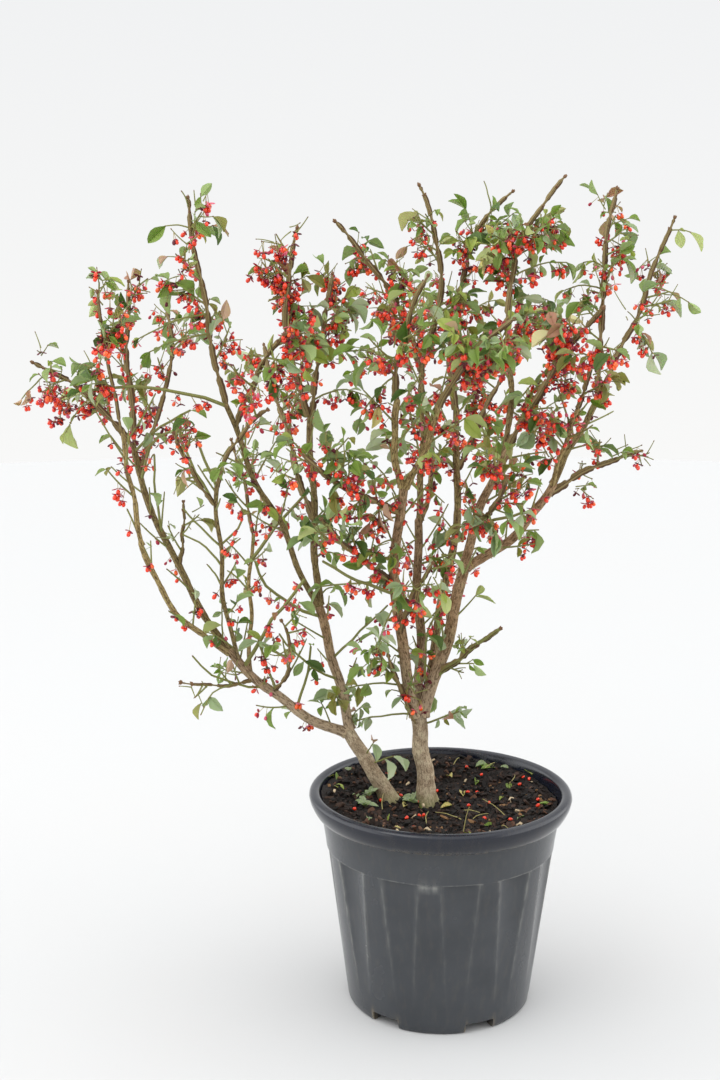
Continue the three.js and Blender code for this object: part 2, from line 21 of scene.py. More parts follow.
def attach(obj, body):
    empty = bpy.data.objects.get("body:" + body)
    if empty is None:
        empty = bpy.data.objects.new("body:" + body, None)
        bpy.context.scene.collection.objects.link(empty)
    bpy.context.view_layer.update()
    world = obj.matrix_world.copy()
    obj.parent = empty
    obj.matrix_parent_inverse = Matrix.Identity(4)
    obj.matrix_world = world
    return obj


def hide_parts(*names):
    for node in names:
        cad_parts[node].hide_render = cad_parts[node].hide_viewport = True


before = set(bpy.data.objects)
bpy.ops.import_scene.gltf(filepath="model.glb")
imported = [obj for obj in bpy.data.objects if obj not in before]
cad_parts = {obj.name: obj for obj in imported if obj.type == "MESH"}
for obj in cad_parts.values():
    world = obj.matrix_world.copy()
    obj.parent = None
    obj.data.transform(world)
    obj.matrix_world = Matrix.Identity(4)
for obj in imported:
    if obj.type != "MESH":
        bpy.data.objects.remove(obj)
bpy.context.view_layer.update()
LOG = logging.getLogger("burning_bush")

Array = np.ndarray
Piece = bpy.types.Object
Pair = tuple[float, float]
Triple = tuple[float, float, float]
Row = TypeVar("Row")

MM = 0.001
TURN = 2 * math.pi
UP = np.array((0.0, 0.0, 1.0))
BODY = "root"
CHART = "chart"
CORK = "cork"
GROUND = "ground"


class Slot(Enum):
    """The record's material slots."""

    POT = "pot_plastic"
    MIX = "soil"
    BARK = "bark"
    FOLIAGE = "foliage"


# Growth: the rule that the solids grow by
WANDER = 0.012
SWAY_TURNS = (1.5, 2)
FORK_SHARE = 0.45
FLARE_HEIGHT = 16.0
SAMPLES = 12
STEM_RADIUS = 4.4
STEM_TIP_RADIUS = 2.4
STEM_SHARE = 0.9
STEM_TAPER = 0.75
FIRST_TWIG = 0.14
GOLDEN_SHARE = 0.618034
GOLDEN_ANGLE = math.radians(137.5)
TWIG_ANGLES = (math.radians(45), math.radians(64))
TWIG_LENGTHS = (0.42, 0.62)
TWIG_RISES = (-0.05, 0.3)
TOP_TWIG_SHARE = 0.7
TWIG_PULL = 0.55
TWIG_RADII = (1.5, 1.0)
TWIG_SHARE = 0.8
SPACE_MARGIN = 0.05
BOUGH_MARGIN = 1.2
SOIL_TOP = 271.0
LOWEST_FOLIAGE = SOIL_TOP + 45


@dataclass(frozen=True)
class Growth:
    """What each limb has: what it leaves and at what share of it, its bend and its tip, in mm."""

    name: str
    on: str
    at: float
    pull: Triple
    tip: Triple


@dataclass(frozen=True)
class Bough(Growth):
    """A trunk or bough, with its radii and, on a trunk, its foot and root flare."""

    radii: Pair
    foot: Triple = (0, 0, 0)
    flare: float = 0


@dataclass(frozen=True)
class Mass(Growth):
    """A mass of foliage: its stem, its reach round it, its twigs, its share of fruit and bare tip."""

    reach: float
    twigs: int
    fruit: float
    bare: float = 0.02
    slim: float = 1


@dataclass(frozen=True)
class Shoot(Growth):
    """A thin shoot that crosses the crown: its radii, leaves, share of fruit and tint."""

    radii: Pair = (1.9, 1.3)
    leaves: int = 3
    fruit: float = 0.4
    tint: int | None = None


@dataclass(frozen=True)
class Patch:
    """A part of the crown, seen from the front, where leaves and fruit are thicker or thinner, in mm."""

    x: float
    z: float
    reach: float
    leaves: float
    fruit: float


def read_rows(kind: type[Row], table: str) -> tuple[Row, ...]:
    """Reads a table whose cells are names, numbers or several numbers with commas.

    Args:
        kind: What a row makes.
        table: The table, a row in each line.

    Returns:
        What the rows make.
    """

    def read(cell: str) -> str | float | tuple[float, ...]:
        """Reads one cell.

        Args:
            cell: The cell.

        Returns:
            Its name, number or numbers.
        """
        if cell[-1].isalpha():
            return cell
        numbers = tuple(float(part) if "." in part else int(part) for part in cell.split(","))
        return numbers if len(numbers) > 1 else numbers[0]

    return tuple(kind(*map(read, line.split())) for line in table.strip().splitlines())


# Columns: name, on, at, pull, tip, radii, foot, flare
BOUGHS = read_rows(Bough, """
trunk_right ground 0 -25,25,345 -30,20,405 12.5,10.5 -15,25,265 .5
trunk_left ground 0 -100,35,330 -130,40,375 11.5,9 -66,35,265 .5
bough_right trunk_right 1 10,10,510 30,0,620 9,7.6
bough_front trunk_right 1 -80,-20,570 -55,-70,740 8,6
bough_back trunk_right 1 -30,50,540 -30,75,670 7,5.6
bough_upright trunk_right 1 30,75,615 25,130,820 6.5,4.6
bough_front_left bough_front 1 -75,-90,795 -65,-110,855 4.8,4.2
bough_front_right bough_front 1 -25,-100,790 -15,-130,850 4.8,4.2
bough_back_top bough_back 1 -25,100,780 -25,120,885 5.4,4.4
bough_back_away bough_back 1 10,150,735 -20,215,830 4.2,3.4
bough_right_low bough_right 1 110,10,655 150,15,730 6.6,5.4
bough_right_inner bough_right 1 45,-15,710 85,-30,785 6.4,5.2
bough_right_outer bough_right_low 1 180,30,795 220,45,855 5,4.4
bough_right_mid bough_right_low 1 155,-20,785 170,-60,840 3.6,3
bough_inner_upright bough_right_inner .94 95,5,855 85,40,945 4.2,3.6
arch_left trunk_left 1 -220,20,405 -290,0,500 7.2,6
upright_left trunk_left 1 -145,45,465 -170,50,555 7.2,6.2
arch_inner arch_left 1 -385,15,625 -420,30,780 5.2,4.2
arch_outer arch_left 1 -375,-30,555 -400,-60,660 4.2,3.4
arch_outer_top arch_outer 1 -410,-75,740 -415,-90,815 3.3,2.8
upright_left_top upright_left 1 -180,45,690 -180,40,820 5.2,4.4
slant_left upright_left 1 -235,0,695 -285,-60,845 4.8,3.8
side_left arch_left .94 -305,-45,620 -295,-100,745 3.4,2.8
side_back_left arch_left .82 -270,65,565 -265,120,640 3.4,2.8
""")

# Columns: name, on, at, pull, tip, reach, twigs, fruit, bare, slim
MASSES = read_rows(Mass, """
far_left arch_inner 1 -460,-15,860 -530,-70,900 80 5 .6
left_top arch_inner 1 -430,45,895 -425,60,1000 85 5 .5
left_outer arch_outer_top 1 -430,-110,910 -435,-130,990 75 5 .5
left_inner arch_inner .9 -355,95,905 -385,140,960 80 5 .6
left_low arch_inner .45 -350,5,660 -345,-40,715 60 3 .3 .02 .65
low_left arch_left .78 -300,-30,455 -350,-65,475 62 3 0 .02 .55
tall_left slant_left 1 -315,-75,975 -325,-90,1105 85 6 .6
mid_left slant_left .9 -250,-105,885 -205,-160,940 85 5 .6
centre_left upright_left_top 1 -230,30,945 -195,20,1070 105 7 .8
centre_left_inner upright_left_top 1 -165,55,915 -150,80,1010 85 5 .7
back_left upright_left_top .45 -225,150,790 -255,250,905 105 6 .6
side_left_top side_left 1 -275,-140,815 -225,-175,850 80 5 .6
side_left_out side_left .9 -330,-110,765 -345,-125,815 65 4 .4
side_back_left_top side_back_left 1 -275,150,705 -300,185,770 80 5 .5
left_foot arch_left .62 -190,-20,490 -215,-70,560 85 4 .3 .02 .65
top_left bough_back_top 1 -65,90,1000 -145,60,1080 90 6 .7 .25
top_centre bough_back_top 1 25,125,1030 -30,130,1130 85 6 .6 .22
top_middle bough_upright 1 -5,165,1035 105,190,1125 95 7 .7 .2
top_right bough_inner_upright 1 85,65,1055 165,90,1140 90 6 .6 .3
back_centre bough_back_away 1 -30,255,920 -70,300,985 105 6 .6
back_right bough_upright .8 90,185,850 130,260,950 105 6 .6
right_inner bough_right_inner 1 125,-70,890 190,-110,970 95 6 .7 .2
right_mid bough_right_mid 1 180,-90,885 185,-120,930 75 4 .7
right_top bough_right_outer 1 265,50,965 310,60,1085 90 6 .6 .28
right_top_left bough_right_outer .93 215,85,1040 240,110,1125 80 6 .5 .15
right_low bough_right_low .92 205,40,755 275,60,770 70 4 .6
right_foot bough_right .28 35,-15,505 75,-50,545 55 3 0 .4
front_left bough_front_left 1 -70,-135,940 -30,-160,1010 90 6 .5 .25
front_right bough_front_right 1 10,-165,915 70,-200,960 90 6 .5 .25
front_side bough_front .9 -140,-130,745 -180,-185,795 95 6 .5
front_side_low bough_front .6 -130,-90,660 -160,-150,710 85 5 .4
front_low bough_front .4 -50,-80,590 -20,-130,650 85 5 .4
front_inner bough_right_inner .4 60,-90,700 70,-160,765 85 5 .5
foot trunk_right .9 -60,-10,450 -75,-40,510 75 4 .1
""")

# Columns: name, on, at, pull, tip, radii, leaves, fruit, tint
SHOOTS = read_rows(Shoot, """
low_bare arch_left .7 -305,-25,455 -335,-60,510 1.9,1.3 0 0
low_droop low_bare .35 -315,-60,465 -320,-110,445 1.3,.9 1 0 1
cross_left upright_left .91 -245,30,565 -255,10,625 2.6,1.9 2
slant_side slant_left .62 -270,-50,750 -285,-80,765
side_arm_upper side_left 1 -310,-105,780 -320,-110,810 2.2,1.7 2
side_arm_lower side_left .89 -325,-75,760 -345,-60,800 2.2,1.7 2
hang_upper arch_inner .98 -380,0,815 -335,-30,835 2.2,1.5 5 .8
hang_lower arch_inner .86 -390,-20,825 -320,-60,810 2.4,1.5 5 .9
long_level slant_left 1 -360,-75,880 -465,-90,865 2.6,1.8 5 .5
bare_upright arch_inner .61 -390,0,720 -385,-20,775 2,1.5 0 0
outer_bare arch_outer .83 -400,-60,670 -415,-70,710 1.7,1.2 0 .3
side_low_left side_left .55 -310,-55,660 -345,-60,675 1.7,1.2 1 .5
side_mid_left side_left .66 -320,-75,685 -340,-90,715 1.7,1.2 1 .5
side_foot_left side_left .44 -305,-40,620 -315,-40,630 1.5,1.1 0 0
side_right side_left .67 -250,-75,700 -270,-80,720 1.7,1.2 2
back_side side_back_left .56 -285,80,590 -300,90,595 1.5,1.1 0 0
front_cross arch_left .88 -230,-25,555 -185,-60,615 3,2.1 3
front_climb side_back_left .8 -230,70,665 -190,40,710 2.8,2 3
foot_slant upright_left .41 -195,0,480 -220,-40,535 2,1.4 4
foot_upright arch_left .42 -180,15,475 -180,10,505 2.2,1.6 2
foot_lean arch_left .6 -240,0,480 -250,-20,520 2.2,1.5 2 .8
span_low upright_left .58 -110,25,525 -75,0,565 2,1.4 3
span_level bough_front .6 -115,-10,600 -165,10,590 1.7,1.2 3
span_slant bough_front .55 -115,-60,610 -160,-90,645 2.6,1.9 3
back_span bough_back .77 15,60,625 55,60,635 1.7,1.2 3 .7
right_bare bough_right_inner .33 80,-35,695 110,-60,705 2.4,1.8 3
right_twig bough_right_inner .51 75,-20,725 95,-20,735 1.7,1.2 3 .7
cut_twig bough_right .27 35,-15,505 75,-50,545 3,2.6 0 0
fork_right trunk_right .88 10,10,405 25,0,415 1.6,1.1 4 0 1
fork_left trunk_right 1 -85,30,405 -125,40,385 1.6,1.1 4 .1 1
fork_level bough_front .14 -100,-5,460 -125,-20,455 1.6,1.1 3 .1
front_leafy bough_front .1 -110,-30,505 -70,-70,575 2,1.3 8 .3
foot_sprout trunk_left .5 -85,28,335 -66,12,346 1.3,.9 4 0 1
foot_sprout_back trunk_left .62 -100,28,350 -94,8,366 1.3,.9 3 0 1
right_leafy bough_right .17 -35,-10,520 0,-40,580 2,1.3 7 .3
top_right_a top_right .3 130,58,1029 166,60,1026 1.3,.9 4 1.1
top_right_b top_right .12 119,88,987 151,130,974 1.3,.9 4 .9
top_leaf_a right_top_left .42 195,79,1001 169,80,989 1.3,.9 4 1
right_inner_a right_inner .55 137,-67,945 138,-60,964 1.3,.9 4 1
middle_a top_middle .5 63,154,1030 92,150,1032 1.3,.9 4 .8
middle_b top_middle .3 52,191,967 86,230,971 1.3,.9 4 .8
inner_a centre_left_inner .12 -142,38,865 -109,30,851 1.4,.9 5 .8
inner_b centre_left_inner .4 -130,51,915 -93,50,906 1.3,.9 5 .6
back_centre_a back_centre .35 -77,241,890 -124,240,866 1.4,.9 4 .8
front_left_a front_left .18 -90,-107,873 -112,-95,832 1.3,.9 4 .6
right_inner_b right_inner .22 129,-54,837 155,-60,820 1.3,.9 3 1.2
right_mid_a bough_right_mid .5 131,-51,814 104,-80,812 1.3,.9 4 .9
upright_a bough_inner_upright .35 117,22,813 146,45,765 1.3,.9 3 .9
outer_a bough_right_outer .35 148,59,812 125,90,821 1.3,.9 4 .9
front_a bough_front .93 -81,-52,760 -104,-40,776 1.3,.9 4 .4
away_a bough_back_away .5 -37,168,772 -65,190,776 1.3,.9 4 .6
far_droop far_left .5 -481,-38,840 -493,-60,810 1.2,.8 3 .1 3
far_tip far_left .86 -526,-75,878 -540,-95,857 1.2,.8 2 .5 5
arch_a arch_inner .06 -301,-3,552 -299,-10,573 1.3,.9 4 .3
arch_b side_left .06 -301,-20,527 -319,-35,537 1.2,.8 4 .3 2
arch_c arch_left .97 -284,16,523 -281,30,541 1.2,.8 3 .3 2
cleft_a upright_left .12 -140,25,424 -148,10,437 1.3,.9 3 .1 4
cleft_b upright_left .2 -128,50,431 -123,60,437 1.2,.8 3 .1 1
cleft_c upright_left .06 -119,48,401 -109,55,406 1.2,.8 3 0 1
stem_a bough_front .06 -54,2,445 -68,-10,449 1.2,.8 3 .05 1
stem_b bough_back .1 -17,40,432 -4,50,416 1.2,.8 3 0 0
top_right_c top_right .42 122,65,1051 145,70,1048 1.3,.9 4 .7
top_leaf_b right_top_left .52 209,90,1031 196,100,1026 1.3,.9 4 .8
tall_tip_a tall_left .96 -328,-92,1107 -332,-95,1112 1.1,.8 2 0 0
tall_tip_b tall_left .86 -339,-82,1074 -355,-80,1071 1.1,.8 3 0 0
tall_tip_c tall_left .8 -309,-86,1066 -296,-90,1071 1.1,.8 3 .2 2
right_tip_a right_top .93 316,55,1071 329,50,1066 1.1,.8 2 0 3
right_tip_b right_top .62 302,46,991 328,40,974 1.2,.8 3 .1 0
right_tip_c right_top .4 271,50,931 284,50,906 1.3,.9 3 1.2
crown_tip_a top_middle .86 70,184,1124 64,185,1138 1.2,.8 3 0 0
crown_tip_b top_middle .7 44,176,1085 38,175,1099 1.2,.8 3 .5 0
back_reach back_centre .8 -66,318,978 -64,342,966 1.2,.8 3 .4
front_reach front_right .85 58,-215,938 55,-236,926 1.2,.8 3 .4
mid_a bough_front .97 -78,-79,727 -99,-90,697 1.5,1 5 .9
mid_b bough_front .88 -88,-65,696 -117,-70,669 1.4,.9 4 .6 4
mid_c bough_front .78 -78,-60,670 -92,-70,659 1.3,.9 4 .5
mid_d front_side .35 -116,-111,724 -122,-112,710 1.2,.8 4 1.2
mid_e front_side .6 -144,-139,744 -145,-140,728 1.2,.8 4 1 4
mid_f front_side .2 -93,-90,746 -97,-90,754 1.2,.8 4 .6
mid_g front_side_low .45 -121,-86,677 -122,-90,686 1.2,.8 4 .8
mid_h front_side_low .2 -86,-53,639 -80,-50,644 1.2,.8 3 .6 4
mid_i upright_left_top .25 -159,45,638 -143,44,626 1.6,1 5 .5
mid_j upright_left_top .45 -160,46,696 -145,44,693 1.5,1 5 .8 0
mid_k bough_upright .55 9,81,661 -2,80,664 1.5,1 5 .5 1
mid_l bough_upright .75 38,104,717 50,104,698 1.4,.9 4 .7
mid_m bough_back_top .2 -11,87,712 6,88,694 1.3,.9 4 .6
mid_n bough_back .78 -17,62,625 -3,62,616 1.4,.9 4 .5 0
mid_o bough_back .9 -41,68,643 -53,66,627 1.3,.9 4 .4
mid_p bough_right_inner .35 27,-10,684 12,-8,663 1.5,1 5 .6
mid_q upright_left_top .05 -156,49,584 -143,50,579 1.4,.9 4 .3
mid_r bough_front .62 -81,-27,611 -96,-24,590 1.4,.9 4 .3 1
low_r_a bough_front .3 -48,-2,500 -43,5,476 1.4,.9 4 .1 1
low_r_b bough_back .25 -24,36,464 -21,35,436 1.4,.9 4 .05 1
low_l_a upright_left .1 -140,40,423 -149,40,431 1.4,.9 5 .1 1
low_l_b arch_left .12 -160,37,405 -166,40,414 1.3,.9 4 .1 0
arch_leaf_a tall_left .45 -348,-77,957 -391,-80,932 1.4,.9 5 .3
arch_leaf_b tall_left .35 -342,-69,933 -380,-70,914 1.3,.9 4 .3 0
right_fill_a right_inner .6 130,-48,895 119,-20,871 1.3,.9 4 1.8
right_fill_b right_inner .45 117,-40,869 108,-10,849 1.3,.9 3 1.8
""")

# Columns: x, z, reach, leaves, fruit
PATCHES = read_rows(Patch, """
-510 930 40 .15 .3
-510 870 40 .25 1.5
-430 975 55 .75 1
-405 930 35 1 1.6
-370 835 40 .4 2.5
-340 750 65 .3 .2
-305 710 55 .4 .25
-355 665 50 .6 .5
-410 620 45 .35 .3
-355 455 60 .12 0
-355 920 35 .7 .5
-305 785 40 .3 .6
-275 560 50 1.4 1
-250 880 60 .5 .8
-240 825 45 .6 .6
-255 1030 50 .5 .5
-295 1085 40 .3 .4
-190 1085 40 .5 .3
-190 985 60 1.8 2.4
-195 495 50 .45 .4
-235 515 60 .5 .5
-170 805 55 .8 .6
-155 665 50 .8 .8
-140 870 50 2 1
-140 430 60 1.8 1
-100 820 80 2 1.6
-100 645 80 .95 .9
-90 880 40 1 1.8
-60 830 60 1.6 1
-60 740 70 1.1 1.4
90 780 50 1.6 .8
-45 630 55 .8 1
-40 1050 40 .8 .4
-40 965 50 .5 .5
25 495 50 .3 .2
30 765 40 1.1 2.5
75 940 80 1.6 1.5
75 805 80 1.4 1.5
75 725 45 .8 .35
85 1020 80 2 .7
135 900 35 1.3 2.6
165 740 60 .2 .5
225 950 45 .7 .6
270 975 50 .8 .6
275 780 40 .3 .4
330 780 45 .2 .4
""")

# Boughs whose bark colours are darkened: painted shade.
SHADED_BOUGHS = (
    "bough_back", "bough_back_top", "bough_upright", "bough_inner_upright", "bough_right_outer",
    "arch_inner", "side_left", "slant_left", "upright_left_top",
)


def lushness(place: Array) -> Pair:
    """Works out how thick the growth is at a place.

    Args:
        place: The place in mm.

    Returns:
        Its leaves and its fruit, as shares of the usual.
    """
    leaves = fruit = 1.0
    for patch in PATCHES:
        nearness = math.exp(-((place[0] - patch.x) ** 2 + (place[2] - patch.z) ** 2) / patch.reach**2)
        leaves *= 1 + (patch.leaves - 1) * nearness
        fruit *= 1 + (patch.fruit - 1) * nearness
    return leaves, fruit


def unit(vectors: Array | Sequence[float]) -> Array:
    """Returns vectors at length one."""
    vectors = np.asarray(vectors, float)
    return vectors / np.maximum(np.linalg.norm(vectors, axis=-1, keepdims=True), 1e-9)


def lerp(low: float, high: float, share: float | Array) -> float | Array:
    """Returns the value at a share of the way between two values."""
    return low + (high - low) * share


def bell(off: Array, width: float) -> Array:
    """Returns shares that fall from one as values move off zero."""
    return np.exp(-((off / width) ** 2))


class Draws:
    """Numbers from 0 to 1 that a name seeds, the same ones that the solids grow by."""

    MASK = 0xFFFFFFFF
    STEP = 0x6D2B79F5

    def __init__(self, name: str) -> None:
        """Starts the draws.

        Args:
            name: What seeds the draws.
        """
        self.state = 7
        for letter in name:
            self.state = (self.state * 31 + ord(letter)) & self.MASK

    def share(self) -> float:
        """Draws a number.

        Returns:
            The next number.
        """
        self.state = (self.state + self.STEP) & self.MASK
        mixed = (self.state ^ self.state >> 15) * (self.state | 1) & self.MASK
        mixed ^= mixed + ((mixed ^ mixed >> 7) * (mixed | 61) & self.MASK) & self.MASK
        return (mixed ^ mixed >> 14) / 2**32

    def between(self, low: float, high: float) -> float:
        """Returns the next number, set between two values."""
        return lerp(low, high, self.share())


@dataclass
class Limb:
    """One tapering limb: a quadratic curve that wanders a little, by draws that its name seeds.

    Its methods take t, fractions of its length, and give places in mm and unit directions.
    """

    name: str
    foot: Array
    pull: Array
    tip: Array
    radii: Pair
    flare: float = 0.0
    wander: float = WANDER

    def __post_init__(self) -> None:
        """Works out the limb's length, wander and plane."""
        self.foot, self.pull, self.tip = (np.asarray(p, float) for p in (self.foot, self.pull, self.tip))
        steps = self.curve(np.linspace(0, 1, 201))
        self.length = float(np.linalg.norm(np.diff(steps, axis=0), axis=1).sum())
        draws = Draws(self.name)
        self.phases = (draws.share() * TURN, draws.share() * TURN)
        bend = np.cross(self.pull - self.foot, self.tip - self.pull)
        if np.linalg.norm(bend) <= 1:
            bend = np.cross(self.along(0.5), (1.0, 0.0, 0.0))
        self.normal = unit(bend)
        self.samples = self.points(np.linspace(0, 1, SAMPLES + 1))

    def curve(self, t: float | Array) -> Array:
        """Returns the plain curve's points."""
        t = np.asarray(t, float)[..., None]
        return (1 - t) ** 2 * self.foot + 2 * t * (1 - t) * self.pull + t * t * self.tip

    def along(self, t: float | Array) -> Array:
        """Returns the limb's directions."""
        t = np.asarray(t, float)[..., None]
        return unit((1 - t) * (self.pull - self.foot) + t * (self.tip - self.pull))

    def side(self, t: float | Array) -> Array:
        """Returns the directions across the limb, in the plane of its bend."""
        return unit(np.cross(self.along(t), self.normal))

    def points(self, t: float | Array) -> Array:
        """Follows the wandering middle line.

        Args:
            t: Fractions of the length.

        Returns:
            The points in mm.
        """
        t = np.asarray(t, float)
        sway = self.wander * self.length * np.sin(math.pi * t)
        across = sway * np.sin(SWAY_TURNS[0] * TURN * t + self.phases[0])
        out = sway * np.sin(SWAY_TURNS[1] * TURN * t + self.phases[1])
        return self.curve(t) + across[..., None] * self.side(t) + out[..., None] * self.normal

    def radius(self, t: float | Array) -> Array:
        """Returns the limb's radii."""
        t = np.asarray(t, float)
        return lerp(*self.radii, t) * (1 + self.flare * np.exp(-t * self.length / FLARE_HEIGHT))

    def heading(self, t: float, spread: float, turn: float) -> Array:
        """Returns a direction at an angle of `spread` to the limb's own, turned round it by `turn`."""
        across = math.cos(turn) * self.side(t) + math.sin(turn) * self.normal
        return math.cos(spread) * self.along(t) + math.sin(spread) * across

    def to_node(self, t: Array, node_mm: float, phase: int) -> Array:
        """Works out how far points are from the nearest node.

        Args:
            t: Fractions of the limb.
            node_mm: The spacing of its nodes.
            phase: Which of the limb's phases sets them.

        Returns:
            The distances in mm.
        """
        place = t * self.length / node_mm + self.phases[phase]
        return np.abs(place - np.round(place)) * node_mm

    def carry(self, row: Growth, radii: Pair) -> "Limb":
        """Grows a limb that starts inside this one, a little to its own side of a shared fork.

        Args:
            row: The new limb's row.
            radii: Its radii.

        Returns:
            The limb.
        """
        foot, along = self.points(row.at), self.along(row.at)
        outward = np.array(row.pull, float) - foot
        outward = unit(outward - outward.dot(along) * along)
        return Limb(row.name, foot + outward * self.radius(row.at) * FORK_SHARE, row.pull, row.tip, radii)

    def twig(self, name: str, t: float, heading: Array, length: float, rise: float) -> "Limb":
        """Grows a twig that starts straight and rises or sinks towards its tip.

        Args:
            name: The twig's name, which seeds it.
            t: Fraction of the limb.
            heading: The direction that it starts in.
            length: Its length in mm.
            rise: How far its tip rises, in mm.

        Returns:
            The twig.
        """
        foot = self.points(t)
        thickness = min(1.0, float(self.radius(t)) / TWIG_RADII[0] * TWIG_SHARE)
        radii = (TWIG_RADII[0] * thickness, TWIG_RADII[1] * thickness)
        tip = foot + heading * length + UP * rise
        return Limb(name, foot, foot + heading * length * TWIG_PULL, tip, radii, wander=0)


def grow_limbs() -> dict[str, Limb]:
    """Grows the trunks and boughs.

    Returns:
        Each of them by its name.
    """
    limbs: dict[str, Limb] = {}
    for row in BOUGHS:
        if row.on == GROUND:
            limbs[row.name] = Limb(row.name, row.foot, row.pull, row.tip, row.radii, row.flare)
        else:
            limbs[row.name] = limbs[row.on].carry(row, row.radii)
    return limbs


def grow_stem(row: Mass, limbs: dict[str, Limb]) -> Limb:
    """Returns the stem that carries on from a bough into a mass."""
    radius = min(float(limbs[row.on].radius(row.at)) * STEM_SHARE, STEM_RADIUS)
    return limbs[row.on].carry(row, (radius, min(STEM_TIP_RADIUS, radius * STEM_TAPER)))


def side_twigs(row: Mass, stem: Limb) -> list[Limb]:
    """Grows the side twigs that a mass tries, in the order of its seeded draws.

    Args:
        row: The mass.
        stem: Its stem.

    Returns:
        The twigs, those that find no room among them.
    """
    draws = Draws(f"{row.name}_twigs")
    first_turn = draws.share() * TURN
    twigs = []
    for i in range(2 * row.twigs):
        share = (i + 1) * GOLDEN_SHARE % 1
        t = lerp(FIRST_TWIG, 1 - row.bare, share)
        heading = stem.heading(t, draws.between(*TWIG_ANGLES), first_turn + (i + 1) * GOLDEN_ANGLE)
        length = row.reach * draws.between(*TWIG_LENGTHS) * lerp(1, TOP_TWIG_SHARE, share)
        twigs.append(stem.twig(f"{row.name}_{i}", t, heading, length, length * draws.between(*TWIG_RISES)))
    return twigs


class Thicket:
    """All limbs and stems together, to tell how much room a point has."""

    def __init__(self, limbs: list[Limb], stems: list[Limb], reaches: list[float]) -> None:
        """Lays out the segments of all middle lines.

        Args:
            limbs: Trunks and boughs.
            stems: The masses' stems.
            reaches: How far each mass reaches round its stem.
        """
        lines = [limb.samples for limb in limbs + stems]
        self.starts = np.concatenate([line[:-1] for line in lines])
        self.spans = np.concatenate([np.diff(line, axis=0) for line in lines])
        self.squares = (self.spans**2).sum(1)
        self.limbs = limbs
        self.reaches = np.array(reaches)

    def room(self, points: Array) -> tuple[Array, Array]:
        """Measures the room at points.

        Args:
            points: The points in mm.

        Returns:
            Each point's distance from each stem as a share of its reach, and from the nearest bark.
        """
        offsets = points[:, None] - self.starts
        shares = np.clip(np.einsum("psk,sk->ps", offsets, self.spans) / self.squares, 0, 1)
        gaps = np.linalg.norm(offsets - shares[..., None] * self.spans, axis=2)
        gaps = gaps.reshape(len(points), -1, SAMPLES)
        best = gaps.argmin(2)[..., None]
        distance = np.take_along_axis(gaps, best, 2)[..., 0]
        share = np.take_along_axis(shares.reshape(gaps.shape), best, 2)[..., 0]
        t = (best[..., 0] + share) / SAMPLES
        count = len(self.limbs)
        thickness = np.stack([limb.radius(t[:, i]) for i, limb in enumerate(self.limbs)], 1)
        return distance[:, count:] / self.reaches, (distance[:, :count] - thickness).min(1)

    def is_free(self, points: Array, own: int, shared: bool) -> bool:
        """Tells whether points lie in a mass's own space, clear of the boughs and above the soil.

        Args:
            points: The points in mm.
            own: Number of the mass.
            shared: Whether the point may also be in a neighbour's space.

        Returns:
            Whether all of them do.
        """
        crowd, clearance = self.room(points)
        mine = crowd[:, own]
        fits = (points[:, 2] >= LOWEST_FOLIAGE) & (mine <= 1) & (clearance >= BOUGH_MARGIN)
        if not shared:
            fits &= np.delete(crowd, own, axis=1).min(1) >= mine + SPACE_MARGIN
        return bool(fits.all())


def only(piece: Piece) -> None:
    """Selects one piece alone and makes it active.

    Args:
        piece: The piece.
    """
    bpy.ops.object.select_all(action="DESELECT")
    piece.select_set(True)
    bpy.context.view_layer.objects.active = piece


@contextmanager
def editing(piece: Piece, mode: str = "EDGE") -> Iterator[None]:
    """Holds a piece in edit mode, all of it selected.

    Args:
        piece: The mesh to edit.
        mode: What its selections are made of.
    """
    only(piece)
    bpy.ops.object.mode_set(mode="EDIT")
    bpy.ops.mesh.select_mode(type=mode)
    bpy.ops.mesh.select_all(action="SELECT")
    yield
    bpy.ops.object.mode_set(mode="OBJECT")


def start(primitive: Callable[..., set[str]], **sizes: object) -> Piece:
    """Adds a primitive with nothing else selected.

    Args:
        primitive: The operator that adds it.
        sizes: Its sizes and place.

    Returns:
        Its object.
    """
    bpy.ops.object.select_all(action="DESELECT")
    primitive(**sizes)
    return bpy.context.object


def apply_all(piece: Piece) -> Piece:
    """Applies a piece's modifiers and its place, so that its object is at the origin.

    Args:
        piece: The piece.

    Returns:
        The piece.
    """
    only(piece)
    for modifier in list(piece.modifiers):
        bpy.ops.object.modifier_apply(modifier=modifier.name)
    bpy.ops.object.transform_apply(location=True, rotation=True, scale=True)
    return piece


def points_of(piece: Piece) -> Array:
    """Reads a mesh's vertices.

    Args:
        piece: The mesh.

    Returns:
        A row for each vertex.
    """
    points = np.empty(3 * len(piece.data.vertices))
    piece.data.vertices.foreach_get("co", points)
    return points.reshape(-1, 3)


def move_points(piece: Piece, points: Array) -> None:
    """Puts a mesh's vertices at new places."""
    piece.data.vertices.foreach_set("co", points.ravel())
    piece.data.update()


def write_chart(piece: Piece, values: Array, name: str = CHART) -> None:
    """Writes three values a vertex, which a material reads, as an attribute."""
    made = piece.data.attributes.new(name, "FLOAT_VECTOR", "POINT")
    made.data.foreach_set("vector", np.ascontiguousarray(values, np.float32).ravel())


